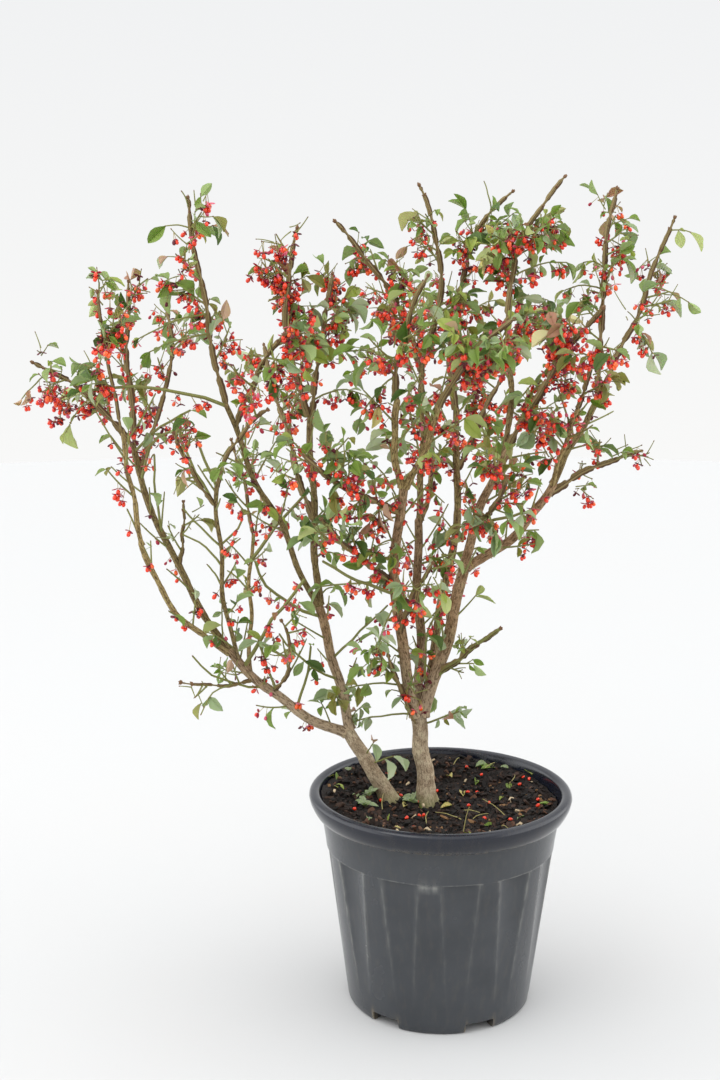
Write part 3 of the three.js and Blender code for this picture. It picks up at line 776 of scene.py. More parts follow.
def turn_up(stations: list[Pair], sides: int, turn: float, pointed: bool) -> Piece:
    """Extrudes a ring upwards from station to station and closes it.

    Args:
        stations: Each ring's radius and height in mm.
        sides: How many sides a ring has.
        turn: How far the rings are turned, in degrees.
        pointed: Whether the last ring closes in a point and not in a face.

    Returns:
        The closed shell.
    """
    radius, height = stations[0]
    ring = {"location": (0, 0, height * MM), "rotation": (0, 0, math.radians(turn))}
    circle = bpy.ops.mesh.primitive_circle_add
    shell = start(circle, vertices=sides, radius=radius * MM, fill_type="NGON", **ring)
    with editing(shell):
        for next_radius, next_height in stations[1:]:
            rise = {"value": (0, 0, (next_height - height) * MM)}
            bpy.ops.mesh.extrude_edges_move(TRANSFORM_OT_translate=rise)
            share = next_radius / radius
            bpy.ops.transform.resize(value=(share, share, 1))
            radius, height = next_radius, next_height
        if pointed:
            bpy.ops.mesh.merge(type="COLLAPSE")
        else:
            bpy.ops.mesh.edge_face_add()
        bpy.ops.mesh.select_all(action="SELECT")
        bpy.ops.mesh.remove_doubles(threshold=1e-6)
        bpy.ops.mesh.normals_make_consistent(inside=False)
    return apply_all(shell)


def model_rod(sides: int, rings: int) -> Piece:
    """Models an upright rod of radius and height one, its foot at the origin.

    Args:
        sides: How many sides it has.
        rings: How many lengths it is cut into.

    Returns:
        The rod.
    """
    cylinder = bpy.ops.mesh.primitive_cylinder_add
    rod = apply_all(start(cylinder, vertices=sides, radius=1, depth=1, location=(0, 0, 0.5)))
    with editing(rod):
        bpy.ops.mesh.select_all(action="DESELECT")
        bpy.ops.object.mode_set(mode="OBJECT")
        heights = points_of(rod)[:, 2]
        for edge in rod.data.edges:
            edge.select = bool(abs(heights[edge.vertices[0]] - heights[edge.vertices[1]]) > 0.5)
        bpy.ops.object.mode_set(mode="EDIT")
        bpy.ops.mesh.subdivide(number_cuts=rings - 1)
    return rod


def relief(points: Array, size: float, octaves: int) -> Array:
    """Works out smooth rough ground at points.

    Args:
        points: Points in mm.
        size: Width of its largest humps in mm.
        octaves: How many finer layers it has.

    Returns:
        A height from about -1 to 1 for each point.
    """
    return np.array([noise.fractal(Vector(p), 1.0, 2.0, octaves) for p in points / size])


def turned_by(yaw: float, pitch: float, roll: float) -> Array:
    """Works out a turn about X, then Y, then Z.

    Args:
        yaw: Angle about Z.
        pitch: Angle about Y.
        roll: Angle about X.

    Returns:
        Its matrix.
    """
    cz, sz, cy, sy, cx, sx = (f(a) for a in (yaw, pitch, roll) for f in (math.cos, math.sin))
    about_z = np.array([[cz, -sz, 0], [sz, cz, 0], [0, 0, 1]])
    about_y = np.array([[cy, 0, sy], [0, 1, 0], [-sy, 0, cy]])
    about_x = np.array([[1, 0, 0], [0, cx, -sx], [0, sx, cx]])
    return about_z @ about_y @ about_x


def frame_on(heading: Array, up: Array) -> Array:
    """Returns the turn whose Y axis is a heading and whose Z axis leans to `up`."""
    across = unit(np.cross(heading, up))
    return np.column_stack([across, heading, np.cross(across, heading)])


def linear(colour: str, light: float = 1.0) -> tuple[float, float, float, float]:
    """Turns an sRGB hex colour into linear light.

    Args:
        colour: The colour, as "#rrggbb".
        light: The share of its light that is kept.

    Returns:
        Red, green, blue and full alpha.
    """
    parts = [int(colour[i : i + 2], 16) / 255 for i in (1, 3, 5)]
    red, green, blue = (p / 12.92 if p <= 0.04045 else ((p + 0.055) / 1.055) ** 2.4 for p in parts)
    return red * light, green * light, blue * light, 1.0


Value = bpy.types.NodeSocket | float | str | tuple
Inputs = dict[str | int, Value] | tuple[Value, ...]
SHARE, A, B = 0, 6, 7
BLEND = {"out": 2, "data_type": "RGBA"}


def feed(node: bpy.types.Node, inputs: Inputs) -> None:
    """Sets a node's inputs.

    Args:
        node: The node.
        inputs: A value, hex colour or node's output for each input, in order or by name or number.
    """
    for socket, value in (enumerate(inputs) if isinstance(inputs, tuple) else inputs.items()):
        if isinstance(value, bpy.types.NodeSocket):
            node.id_data.links.new(value, node.inputs[socket])
        else:
            node.inputs[socket].default_value = linear(value) if isinstance(value, str) else value


def add_node(
    tree: bpy.types.NodeTree, kind: str, inputs: Inputs = (), out: str | int = 0, **options: object
) -> bpy.types.NodeSocket:
    """Adds a node with its settings and links.

    Args:
        tree: The material's node tree.
        kind: The node's type, without ShaderNode.
        inputs: What goes into it, as in `feed`.
        out: The name or number of the output that is used.
        options: The node's own settings.

    Returns:
        The output.
    """
    node = tree.nodes.new(f"ShaderNode{kind}")
    for option, value in options.items():
        setattr(node, option, value)
    feed(node, inputs)
    return node.outputs[out]


Add = Callable[..., bpy.types.NodeSocket]
USUAL_IOR = 1.45


class Finish:
    """A surface that is made once and shared by the pieces that have it."""

    name: str

    def material(self) -> bpy.types.Material:
        """Makes the finish's material at its first use.

        Returns:
            The material.
        """
        made = bpy.data.materials.get(self.name)
        if made is None:
            made = bpy.data.materials.new(self.name)
            made.use_nodes = True
            surface = made.node_tree.nodes["Principled BSDF"]
            feed(surface, {"IOR": USUAL_IOR} | self.dress(partial(add_node, made.node_tree)))
        return made

    def dress(self, add: Add) -> Inputs:
        """Returns what goes into the surface shader. Each finish has its own way."""
        raise NotImplementedError


def keep(
    piece: Piece, name: str, slot: Slot, finishes: Sequence[Finish], angle: float, nodes: tuple[str, ...] = ()
) -> None:
    """Dresses a finished piece, names it and ties it to the frame.

    Args:
        piece: The finished piece.
        name: Its name.
        slot: The record's slot that its finish comes from; not used.
        finishes: A finish for each material slot.
        angle: Edges sharper than this, in degrees, stay sharp.
        nodes: The CAD nodes that it stands for.
    """
    for finish in finishes:
        piece.data.materials.append(finish.material())
    only(piece)
    bpy.ops.object.shade_smooth_by_angle(angle=math.radians(angle))
    piece.name = name
    piece.data.name = name
    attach(piece, BODY)
    if nodes:
        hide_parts(*nodes)
    LOG.info("%s: %d faces", name, len(piece.data.polygons))


@dataclass
class Template:
    """A modelled shape as arrays, to be copied many times into one mesh."""

    points: Array
    corners: Array
    counts: Array
    slots: Array

    @classmethod
    def take(cls, piece: Piece) -> "Template":
        """Reads a shape in its own units and removes its object.

        Args:
            piece: The shape.

        Returns:
            Its template.
        """
        faces = piece.data.polygons
        corners = np.array([loop.vertex_index for loop in piece.data.loops])
        counts = np.array([face.loop_total for face in faces])
        made = cls(points_of(piece), corners, counts, np.array([face.material_index for face in faces]))
        bpy.data.objects.remove(piece)
        return made

    def along(self, limb: Limb) -> Array:
        """Bends a rod of radius and length one along a limb.

        Args:
            limb: The limb.

        Returns:
            The points in mm.
        """
        t = self.points[:, 2]
        on_limb = np.clip(t, 0, 1)
        beyond = (t - on_limb)[:, None] * limb.length * limb.along(on_limb)
        across = self.points[:, :1] * limb.side(on_limb) + self.points[:, 1:2] * limb.normal
        return limb.points(on_limb) + beyond + across * limb.radius(on_limb)[:, None]


@dataclass
class Heap:
    """Copies of templates that are gathered into one joined mesh."""

    name: str
    angle: float = 60
    copies: list[tuple[Array, ...]] = field(default_factory=list)
    total: int = 0

    def add(self, template: Template, points: Array, slot: int = 0, chart: Array | None = None) -> None:
        """Adds one copy of a template.

        Args:
            template: The shape.
            points: Its copy's points in mm.
            slot: The material slot of the copy's first finish.
            chart: Three values a vertex for its material, or none for the template's own points.
        """
        chart = template.points if chart is None else chart
        corners = template.corners + self.total
        self.copies.append((points, corners, template.counts, template.slots + slot, chart))
        self.total += len(points)

    def build(self, slot: Slot, *finishes: Finish, nodes: tuple[str, ...] = ()) -> None:
        """Joins the copies into one mesh and keeps it.

        Args:
            slot: The record's slot that its finish comes from.
            finishes: A finish for each material slot.
            nodes: The CAD nodes that it stands for.
        """
        mesh = bpy.data.meshes.new(self.name)
        points, corners, counts, slots, chart = (np.concatenate(parts) for parts in zip(*self.copies))
        mesh.vertices.add(self.total)
        mesh.loops.add(len(corners))
        mesh.polygons.add(len(counts))
        mesh.vertices.foreach_set("co", (points * MM).ravel())
        mesh.loops.foreach_set("vertex_index", corners)
        mesh.polygons.foreach_set("loop_start", np.cumsum(counts) - counts)
        mesh.polygons.foreach_set("material_index", slots)
        mesh.update(calc_edges=True)
        piece = bpy.data.objects.new(self.name, mesh)
        bpy.context.scene.collection.objects.link(piece)
        write_chart(piece, chart)
        keep(piece, self.name, slot, finishes, self.angle, nodes)


@dataclass(frozen=True)
class MouldedPolypropylene(Finish):
    """Grey polypropylene, injection moulded: satin, so rounded edges shine, with dust, worn spots, painted
    highlights along the flute edges and painted shade on the inner wall.
    """

    name: str = "polypropylene_moulded"
    body: str = "#3b3e42"
    shade: str = "#34373b"
    # Dark navy of the lip, also laid on the inner wall as painted shade.
    lip: str = "#161a25"
    dust: str = "#83765f"
    # Pale of worn plastic, also the colour of the painted highlights along the flute edges.
    rubbed_and_highlight: str = "#a3a39d"
    mottle_mm: float = 60
    scuff_mm: float = 7
    grain_mm: float = 0.9  # coarser than the mould's real grain, so that it shows

    def dress(self, add: Add) -> Inputs:
        """Mottles the grey, lays the dark lip colour on the lip and, as painted shade, on the inner wall,
        dulls it with dust, and turns worn spots and the flute edges pale, the edges partly as painted
        highlight.

        Args:
            add: Adds a node.

        Returns:
            The shader's inputs.
        """
        place = add("TexCoord", out="Object")
        chart = add("Attribute", out="Vector", attribute_name=CHART)
        # Channels: worn spots and flute edges, the edges partly painted highlight; the lip's colour, painted
        # shade on the inner wall; dust.
        rubbed_and_highlight, lip, dust = add("SeparateXYZ", (chart,)).node.outputs
        mottle = add("TexNoise", {"Vector": place, "Scale": 1 / (self.mottle_mm * MM), "Detail": 4})
        long = add("Mapping", {"Vector": place, "Scale": (1, 1, 0.3)})
        scuff = add("TexNoise", {"Vector": long, "Scale": 1 / (self.scuff_mm * MM), "Detail": 4})
        speckle = add("TexNoise", {"Vector": place, "Scale": 1 / (self.grain_mm * MM), "Detail": 2})
        tone = add("MapRange", (mottle, 0.35, 0.65))
        grey = add("Mix", {SHARE: tone, A: self.shade, B: self.body}, **BLEND)
        # The lip's colour, laid on the inner wall too as painted shade.
        upper = add("Mix", {SHARE: lip, A: grey, B: self.lip}, **BLEND)
        film = add("MapRange", (scuff, 0.5, 0.85, 0, 0.07))
        crust = add("MapRange", (scuff, 0.42, 0.56))
        dusty = add("Math", (dust, crust, film), operation="MULTIPLY_ADD")
        dull = add("Mix", {SHARE: dusty, A: upper, B: self.dust}, **BLEND)
        broken = add("MapRange", (scuff, 0.38, 0.6, 0.35))
        wear_and_highlight = add("Math", (rubbed_and_highlight, broken), operation="MULTIPLY")
        rough = add("MapRange", (mottle, 0.35, 0.7, 0.2, 0.28))
        grain = add("Bump", {"Height": speckle, "Strength": 0.1, "Distance": 0.0002})
        return {
            "Base Color": add("Mix", {SHARE: wear_and_highlight, A: dull, B: self.rubbed_and_highlight}, **BLEND),
            "Roughness": add("Math", (lip, -0.06, rough), operation="MULTIPLY_ADD"),
            "IOR": 1.5,
            "Normal": add("Bump", {"Height": mottle, "Strength": 0.4, "Distance": 0.001, "Normal": grain}),
        }


@dataclass(frozen=True)
class Bark(Finish):
    """Bark that has split as it grew: pale ridges, finer dark fissures along the limb, moss in patches."""

    name: str = "bark_furrowed"
    ridge: str = "#cdbb9f"
    tone: str = "#8f7b62"
    furrow: str = "#5f4d39"
    wing: str = "#6b5643"
    moss: str = "#7f8a55"
    pale: str = "#b3a086"
    moss_share: float = 0.2
    furrow_mm: float = 1.5
    stretch: float = 0.3
    # Share of the colours' light kept: below one it is painted shade.
    light: float = 1
    crack: float = 0.72

    def dress(self, add: Add) -> Inputs:
        """Stretches the fissures along the limb and lays moss over them.

        Args:
            add: Adds a node.

        Returns:
            The shader's inputs.
        """
        chart = add("Attribute", out="Vector", attribute_name=CHART)
        cork = add("Attribute", out="Vector", attribute_name=CORK)
        winged, damp, pale = add("SeparateXYZ", (cork,)).node.outputs
        long = add("Mapping", {"Vector": chart, "Scale": (1, 1, self.stretch)})
        split = {"Vector": long, "Scale": 1 / self.furrow_mm, "Detail": 5, "Roughness": 0.62}
        cracks = add("TexNoise", split)
        tones = add("TexNoise", {"Vector": chart, "Scale": 0.07, "Detail": 4})
        grit = add("TexNoise", {"Vector": chart, "Scale": 0.7, "Detail": 5})
        blotch = add("Math", (grit, 0.8, tones), operation="MULTIPLY_ADD")
        tint = add("MapRange", (blotch, 0.72, 1.08))
        colours = (self.ridge, self.tone, self.furrow, self.wing, self.moss)
        ridge, tone, furrow, wing, moss = (linear(colour, self.light) for colour in colours)
        plain = add("Mix", {SHARE: tint, A: tone, B: ridge}, **BLEND)
        aged = add("Mix", {SHARE: pale, A: plain, B: self.pale}, **BLEND)
        fissure = add("MapRange", (cracks, 0.38, 0.52, self.crack, 0))
        cracked = add("Mix", {SHARE: fissure, A: aged, B: furrow}, **BLEND)
        corky = add("Mix", {SHARE: winged, A: cracked, B: wing}, **BLEND)
        patches = add("MapRange", (tones, 0.55, 0.7, 0, self.moss_share))
        mossy = add("Math", (patches, damp), operation="ADD")
        fine = add("Bump", {"Height": grit, "Strength": 0.35, "Distance": 0.0004})
        return {
            "Base Color": add("Mix", {SHARE: mossy, A: corky, B: moss}, **BLEND),
            "Roughness": 0.85,
            "Specular IOR Level": 0.25,
            "Normal": add("Bump", {"Height": cracks, "Strength": 0.8, "Distance": 0.0012, "Normal": fine}),
        }


@dataclass(frozen=True)
class Rind(Finish):
    """The thin skin of young twigs, corky wings or stalks: one tint with fine grain along the twig."""

    name: str
    tint: str
    roughness: float = 0.6
    grain_mm: float = 1.2

    def dress(self, add: Add) -> Inputs:
        """Gives the tint a fine grain.

        Args:
            add: Adds a node.

        Returns:
            The shader's inputs.
        """
        place = add("TexCoord", out="Object")
        grain = add("TexNoise", {"Vector": place, "Scale": 1 / (self.grain_mm * MM), "Detail": 3})
        return {
            "Base Color": self.tint,
            "Roughness": self.roughness,
            "Specular IOR Level": 0.4,
            "Normal": add("Bump", {"Height": grain, "Strength": 0.5, "Distance": 0.0005}),
        }


@dataclass(frozen=True)
class LeafSkin(Finish):
    """A leaf's skin: waxy above with sunken veins, duller beneath. Its tint is dealt out by spray."""

    name: str
    tint: str
    roughness: float = 0.42
    glow: float = 0.18
    vein_depth_mm: float = 0.5
    veins: float = 7

    def dress(self, add: Add) -> Inputs:
        """Presses the midrib and slanting side veins into the skin.

        Args:
            add: Adds a node.

        Returns:
            The shader's inputs.
        """
        chart = add("Attribute", out="Vector", attribute_name=CHART)
        across, along, _ = add("SeparateXYZ", (chart,)).node.outputs
        off = add("Math", (across,), operation="ABSOLUTE")
        slant = add("Math", (off, -1.1, along), operation="MULTIPLY_ADD")
        beat = add("Math", (slant, self.veins), operation="MULTIPLY")
        wave = add("Math", (beat, 0.5), operation="PINGPONG")
        lines = add("MapRange", (wave, 0, 0.16))
        rib = add("MapRange", (off, 0, 0.035))
        sunk = add("Math", (lines, rib), operation="MULTIPLY")
        return {
            "Base Color": self.tint,
            "Roughness": self.roughness,
            "Specular IOR Level": 0.4,
            "Subsurface Weight": self.glow,
            "Subsurface Radius": (0.6, 1, 0.2),
            "Subsurface Scale": 0.0015,
            "Normal": add("Bump", {"Height": sunk, "Strength": 0.6, "Distance": self.vein_depth_mm * MM}),
        }


@dataclass(frozen=True)
class FruitSkin(Finish):
    """The skin of a seed's fleshy coat or of its capsule: smooth, with faint unevenness."""

    name: str
    tint: str
    roughness: float
    coat: float = 0

    def dress(self, add: Add) -> Inputs:
        """Gives a plain tint its gloss and a faint unevenness.

        Args:
            add: Adds a node.

        Returns:
            The shader's inputs.
        """
        dents = add("TexNoise", {"Vector": add("TexCoord", out="Object"), "Scale": 500, "Detail": 2})
        return {
            "Base Color": self.tint,
            "Roughness": self.roughness,
            "Coat Weight": self.coat,
            "Coat Roughness": 0.12,
            "Subsurface Weight": 0.15,
            "Subsurface Radius": (1, 0.25, 0.1),
            "Subsurface Scale": 0.0012,
            "Normal": add("Bump", {"Height": dents, "Strength": 0.25, "Distance": 0.0006}),
        }


@dataclass(frozen=True)
class Compost(Finish):
    """Moist composted bark: near black, with browner crumbs and fine fibres."""

    name: str = "compost_moist"
    dark: str = "#0f0c0a"
    brown: str = "#2e211a"
    crumb_mm: float = 5

    def dress(self, add: Add) -> Inputs:
        """Breaks the surface into crumbs of two browns.

        Args:
            add: Adds a node.

        Returns:
            The shader's inputs.
        """
        place = add("TexCoord", out="Object")
        crumbs = add("TexVoronoi", {"Vector": place, "Scale": 1 / (self.crumb_mm * MM)})
        fine = add("TexNoise", {"Vector": place, "Scale": 4 / (self.crumb_mm * MM), "Detail": 6})
        tone = add("MapRange", (fine, 0.42, 0.68))
        rough = add("Bump", {"Height": fine, "Strength": 0.8, "Distance": 0.002})
        return {
            "Base Color": add("Mix", {SHARE: tone, A: self.dark, B: self.brown}, **BLEND),
            "Roughness": 0.75,
            "Specular IOR Level": 0.35,
            "Normal": add("Bump", {"Height": crumbs, "Strength": 0.8, "Distance": 0.002, "Normal": rough}),
        }


@dataclass(frozen=True)
class FloorPaint(Finish):
    """A matt white studio floor."""

    name: str = "floor_paint_matt"
    tint: str = "#cdcccb"
    cloud: str = "#cccdcd"

    def dress(self, add: Add) -> Inputs:
        """Gives the paint its faint cloudiness.

        Args:
            add: Adds a node.

        Returns:
            The shader's inputs.
        """
        clouds = add("TexNoise", {"Vector": add("TexCoord", out="Object"), "Scale": 2, "Detail": 3})
        paint = add("Mix", {SHARE: clouds, A: self.tint, B: self.cloud}, **BLEND)
        return {"Base Color": paint, "Roughness": 0.9, "Specular IOR Level": 0.2}


@dataclass
class NurseryPot:
    """A nursery pot: foot with drain notches, fluted body, smooth collar and rolled lip, in mm."""

    height: float = 305
    foot_radius: float = 128
    foot_ring: float = 12
    bottom: float = 15.5
    body_top: float = 240
    body_top_radius: float = 160
    collar_top: float = 280
    collar_radius: float = 166
    lip_radius: float = 183
    lip_foot: float = 275
    roll: float = 8
    wall: float = 4
    flutes: int = 12
    flute_turn: float = 7
    flute_depth: float = 6
    flute_foot: float = 38
    flute_top: float = 226
    flute_half: float = 9.75
    flute_taper: float = 0.45
    edge_width: float = 2.2
    rib_columns: int = 5
    notches: int = 6
    notch_turn: float = 23
    notch_size: Triple = (42, 44, 29)
    scrape_turn: float = -8
    step: float = 0.8
    columns: int = 24
    ring_step: float = 8

    def body_radius(self, height: float | Array) -> float | Array:
        """Returns the body's outside radius at a height, over its ribs."""
        return lerp(self.foot_radius, self.body_top_radius, height / self.body_top)

    def stations(self) -> list[Pair]:
        """Lists the shell's rings.

        Returns:
            Radius and height from the raised bottom, round the foot, over the lip and down inside.
        """
        foot, inner_foot, top = self.foot_radius, self.foot_radius - self.foot_ring - 4, self.flute_top
        path = [(inner_foot - 4, self.bottom), (inner_foot - 1, self.bottom - 0.6)]
        path += [(inner_foot, self.bottom - 3), (inner_foot, 1.2), (inner_foot + 1.2, 0)]
        path += [(foot - 4, 0), (foot - 1.2, 1.2)]
        heights = [*np.arange(4, top - 4, self.ring_step), top - 3, top - 1.4, top - 0.6]
        heights += [top + 0.6, top + 2.5, self.body_top - 1]
        path += [(self.body_radius(z) + self.step * (z > top), z) for z in heights]
        shoulder, under, lip = self.body_top_radius + self.step, self.lip_foot, self.lip_radius
        for share in np.linspace(0, 1, 5):
            path.append((lerp(shoulder, self.collar_radius, share), lerp(self.body_top, under - 2, share)))
        path += [(self.collar_radius + 0.5, under - 1), (self.collar_radius + 2, under)]
        path += [(lip - 10, under + 0.3), (lip - 8.8, under + 1.4)]
        path += [(lip - 5, under + 7.5), (lip - 1.6, under + 15)]
        crown, middle = lip - self.roll, self.height - self.roll
        for angle in np.radians(np.arange(0, 181, 18)):
            path.append((crown + self.roll * math.cos(angle), middle + self.roll * math.sin(angle)))
        path.append((self.collar_radius - self.wall - 0.5, self.collar_top))
        inner = (self.body_top, top + 3, top - 3, 130, self.flute_foot, 20)
        return path + [(self.body_radius(z) - self.wall, z) for z in inner]

    def build(self) -> None:
        """Models the pot's shell."""
        pot = turn_up(self.stations(), self.columns * self.flutes, self.flute_turn, False)
        self.press_flutes(pot)
        self.cut_notches(pot)
        self.mark_wear_and_highlights(pot)
        keep(pot, "pot_shell", Slot.POT, [MouldedPolypropylene()], 38, ("pot",))

    def flute_place(self, points: Array) -> tuple[Array, Array, Array, Array]:
        """Works out where points lie across their flute.

        Args:
            points: Points in mm.

        Returns:
            Turn of the flute's middle, turn from it, the flute's half width and its rise.
        """
        turn = np.degrees(np.arctan2(points[:, 0], -points[:, 1])) - self.flute_turn
        pitch = 360 / self.flutes
        middle = np.round(turn / pitch) * pitch
        rise = np.clip((points[:, 2] - self.flute_foot) / (self.flute_top - self.flute_foot), 0, 1)
        half = self.flute_half * (1 - self.flute_taper * (1 - rise))
        return middle, turn - middle, half, rise

    def press_flutes(self, pot: Piece) -> None:
        """Gathers the columns along the flutes' edges and presses the flutes in.

        Args:
            pot: The shell.
        """
        points = points_of(pot) / MM
        middle, off, half, rise = self.flute_place(points)
        radius = np.hypot(points[:, 0], points[:, 1])
        column = np.abs(off) / 360 * self.flutes * self.columns
        last, edge = self.columns / 2, self.columns / 2 - self.rib_columns
        rim = np.degrees(self.edge_width / radius)
        inside = column / (edge - 1) * (half - rim)
        outside = half + rim + (column - edge - 1) / (last - edge - 1) * (180 / self.flutes - half - rim)
        placed = np.where(column < edge - 0.5, inside, np.where(column > edge + 0.5, outside, half))
        across = np.clip(placed / half, 0, 1)
        depth = self.flute_depth * rise * (1 - across**2) ** 0.85 * (points[:, 2] < self.flute_top)
        turn = np.radians(self.flute_turn + middle + np.sign(off) * placed)
        pressed = radius - np.where(radius > self.foot_radius - self.foot_ring - 2, depth, 0)
        points[:, 0] = pressed * np.sin(turn)
        points[:, 1] = -pressed * np.cos(turn)
        move_points(pot, points * MM)

    def cut_notches(self, pot: Piece) -> None:
        """Cuts the drain notches through the foot ring with bevelled blocks.

        Args:
            pot: The shell.
        """
        blocks = []
        for i in range(self.notches):
            turn = math.radians(self.notch_turn) + i * TURN / self.notches
            place = (self.foot_radius * math.sin(turn) * MM, -self.foot_radius * math.cos(turn) * MM, 0)
            stance = {"location": place, "rotation": (0, 0, turn), "scale": self.notch_size}
            blocks.append(apply_all(start(bpy.ops.mesh.primitive_cube_add, size=MM, **stance)))
            with editing(blocks[-1]):
                bpy.ops.mesh.bevel(offset=2.2 * MM, segments=2)
        for block in blocks:
            block.select_set(True)
        bpy.ops.object.join()
        cutter = bpy.context.object
        cut = pot.modifiers.new("notches", "BOOLEAN")
        cut.object = cutter
        cut.operation = "DIFFERENCE"
        cut.solver = "EXACT"
        apply_all(pot)
        bpy.data.objects.remove(cutter)

    def mark_wear_and_highlights(self, pot: Piece) -> None:
        """Writes how worn the plastic is, with painted highlights along the flute edges, and where it takes
        the lip's colour, which on the inner wall is painted shade, for its material.

        Args:
            pot: The shell.
        """
        points = points_of(pot) / MM
        x, y, height = points.T
        _, off, half, rise = self.flute_place(points)
        radius, turn = np.hypot(x, y), np.degrees(np.arctan2(x, -y))
        outer = radius > self.body_radius(height) - self.flute_depth - 1.5
        gap = np.abs(np.abs(off) - half) * np.pi / 180 * radius
        fluted = (height > self.flute_foot) & (height < self.flute_top + 1) & outer
        # Edge lines grow stronger towards the sides as seen from the front: painted highlight over worn
        # edges.
        painted_highlight_to_sides = 0.25 + np.sin(np.radians(turn)) ** 2
        edges = 0.5 * painted_highlight_to_sides * bell(gap, 2) * rise**0.6 * fluted
        shelf = 0.4 * bell(height - self.flute_top, 1.2) * (np.abs(off) < half + 1) * outer
        off_scrape = ((turn - self.scrape_turn) / 5.5) ** 4 + ((height - self.flute_top + 3) / 4) ** 2
        wear_and_highlight = np.maximum(edges, np.maximum(shelf, 0.5 * np.exp(-off_scrape) * outer))
        notch = (turn - self.notch_turn + 180 / self.notches) % (360 / self.notches) - 180 / self.notches
        notch_half = math.degrees(self.notch_size[0] / 2 / self.foot_radius)
        dust = 0.7 * np.exp(-(((np.abs(notch) - notch_half) / 1.3) ** 2) - (height / 18) ** 4)
        seam = 0.5 * bell(height - self.lip_foot, 1.2) * (radius > self.collar_radius)
        lip = np.clip((height - self.lip_foot + 0.5) / 3, 0, 1)
        # The inner wall takes the dark lip colour: painted shade.
        inside = (radius < self.body_radius(height) - 1.5) & (height > self.foot_ring) & ~outer
        write_chart(pot, np.stack([wear_and_highlight, np.maximum(lip, inside), np.maximum(dust, seam)], 1))


@dataclass
class PottingMix:
    """The pot's filling: a plug of composted bark with loose chips on its rough top, in mm."""

    top: float = SOIL_TOP
    rim_radius: float = 160.3
    foot: float = 20
    sides: int = 120
    ring_step: float = 3.6
    hump: float = 4
    crumb: float = 3.2
    bowl: float = 70
    bowl_width: float = 75
    bank: float = 25
    bank_foot: float = 280
    slope_foot: float = 130
    spread: float = 0.3
    chips: int = 3400
    chip_sizes: Pair = (2.4, 13)
    chip_tilts: Pair = (0.6, 0.5)
    chip_tints: tuple[str, ...] = ("#14100d", "#261b15", "#3d2b21", "#5c4030", "#8a6846", "#c9b594")
    tint_shares: tuple[float, ...] = (0.45, 0.29, 0.15, 0.075, 0.025, 0.01)

    def ground(self, places: Array) -> Array:
        """Works out the top's height: a rough bowl, deepest in front of the trunks.

        Args:
            places: X and Y of points in mm.

        Returns:
            The height at each.
        """
        x, y = places.T
        flat = np.column_stack([x, y, np.zeros(len(places))])
        humps = self.hump * relief(flat, 46, 2) + self.crumb * relief(flat + 300, 12, 3)
        lean = 0.75 + 0.25 * np.clip((y - x) / self.rim_radius, -1, 1)
        rise = np.clip((np.hypot(x, y) - self.bowl) / self.bowl_width, 0, 1) ** 1.3
        return self.top + 1.5 + humps + self.bank * rise * lean

    def on_ground(self, x: float, y: float, lift: float) -> Array:
        """Returns the place over the mix at X and Y."""
        return np.array([x, y, self.ground(np.array([[x, y]]))[0] + lift])

    def build(self, pot: NurseryPot) -> None:
        """Models the plug, whose banked edge reaches out to the wall.

        Args:
            pot: The pot that it fills.
        """
        clear = pot.wall + pot.flute_depth + 0.5
        stations = [(pot.body_radius(z) - clear, z) for z in (self.foot, pot.flute_foot, pot.flute_top)]
        stations.append((pot.body_top_radius - pot.wall - 1.5, pot.body_top))
        stations.append((self.rim_radius - 0.5, self.top - 6))
        stations += [(radius, self.top) for radius in np.arange(self.rim_radius, 3, -self.ring_step)]
        plug = turn_up(stations, self.sides, 0, True)
        points = points_of(plug) / MM
        on_top = points[:, 2] > self.top - 1
        points[on_top, 2] = self.ground(points[on_top, :2])
        far = np.hypot(points[:, 0], points[:, 1])
        banked = np.clip(points[:, 2] - self.bank_foot, 0, None)
        spread = self.spread * banked * np.clip((far - self.slope_foot) / 30, 0, 1)
        points[:, :2] *= (1 + spread / np.maximum(far, 1))[:, None]
        move_points(plug, points * MM)
        keep(plug, "potting_mix", Slot.MIX, [Compost()], 80, ("soil",))

    def chip(self, seed: int) -> Template:
        """Models one chip of bark, one unit long.

        Args:
            seed: What seeds its shape.

        Returns:
            The chip.
        """
        piece = start(bpy.ops.mesh.primitive_cube_add, size=1)
        with editing(piece):
            bpy.ops.transform.resize(value=(1, 0.42 + 0.08 * (seed % 3), 0.2))
            bpy.ops.mesh.subdivide(number_cuts=1, fractal=0.5, smoothness=0.2, seed=seed)
        return Template.take(piece)

    def scatter(self) -> None:
        """Strews chips of six tints over the plug."""
        kinds = [self.chip(seed) for seed in range(5)]
        dice = np.random.default_rng(7)
        heap = Heap("bark_chips", 35)
        far = self.rim_radius - 2
        places = dice.uniform(-far, far, (2 * self.chips, 2))
        places = places[np.hypot(places[:, 0], places[:, 1]) < far][: self.chips]
        for i, ((x, y), z) in enumerate(zip(places, self.ground(places))):
            size = lerp(*self.chip_sizes, dice.random() ** 3)
            turned = turned_by(dice.uniform(0, TURN), *(dice.normal(0, tilt) for tilt in self.chip_tilts))
            kind = kinds[i % len(kinds)]
            slot = int(dice.choice(len(self.tint_shares), p=self.tint_shares))
            heap.add(kind, kind.points @ turned.T * size + (x, y, z + 0.1 * size), slot)
        finishes = (Rind(f"bark_chip_{i + 1}", tint, 0.8, 2.0) for i, tint in enumerate(self.chip_tints))
        heap.build(Slot.MIX, *finishes)


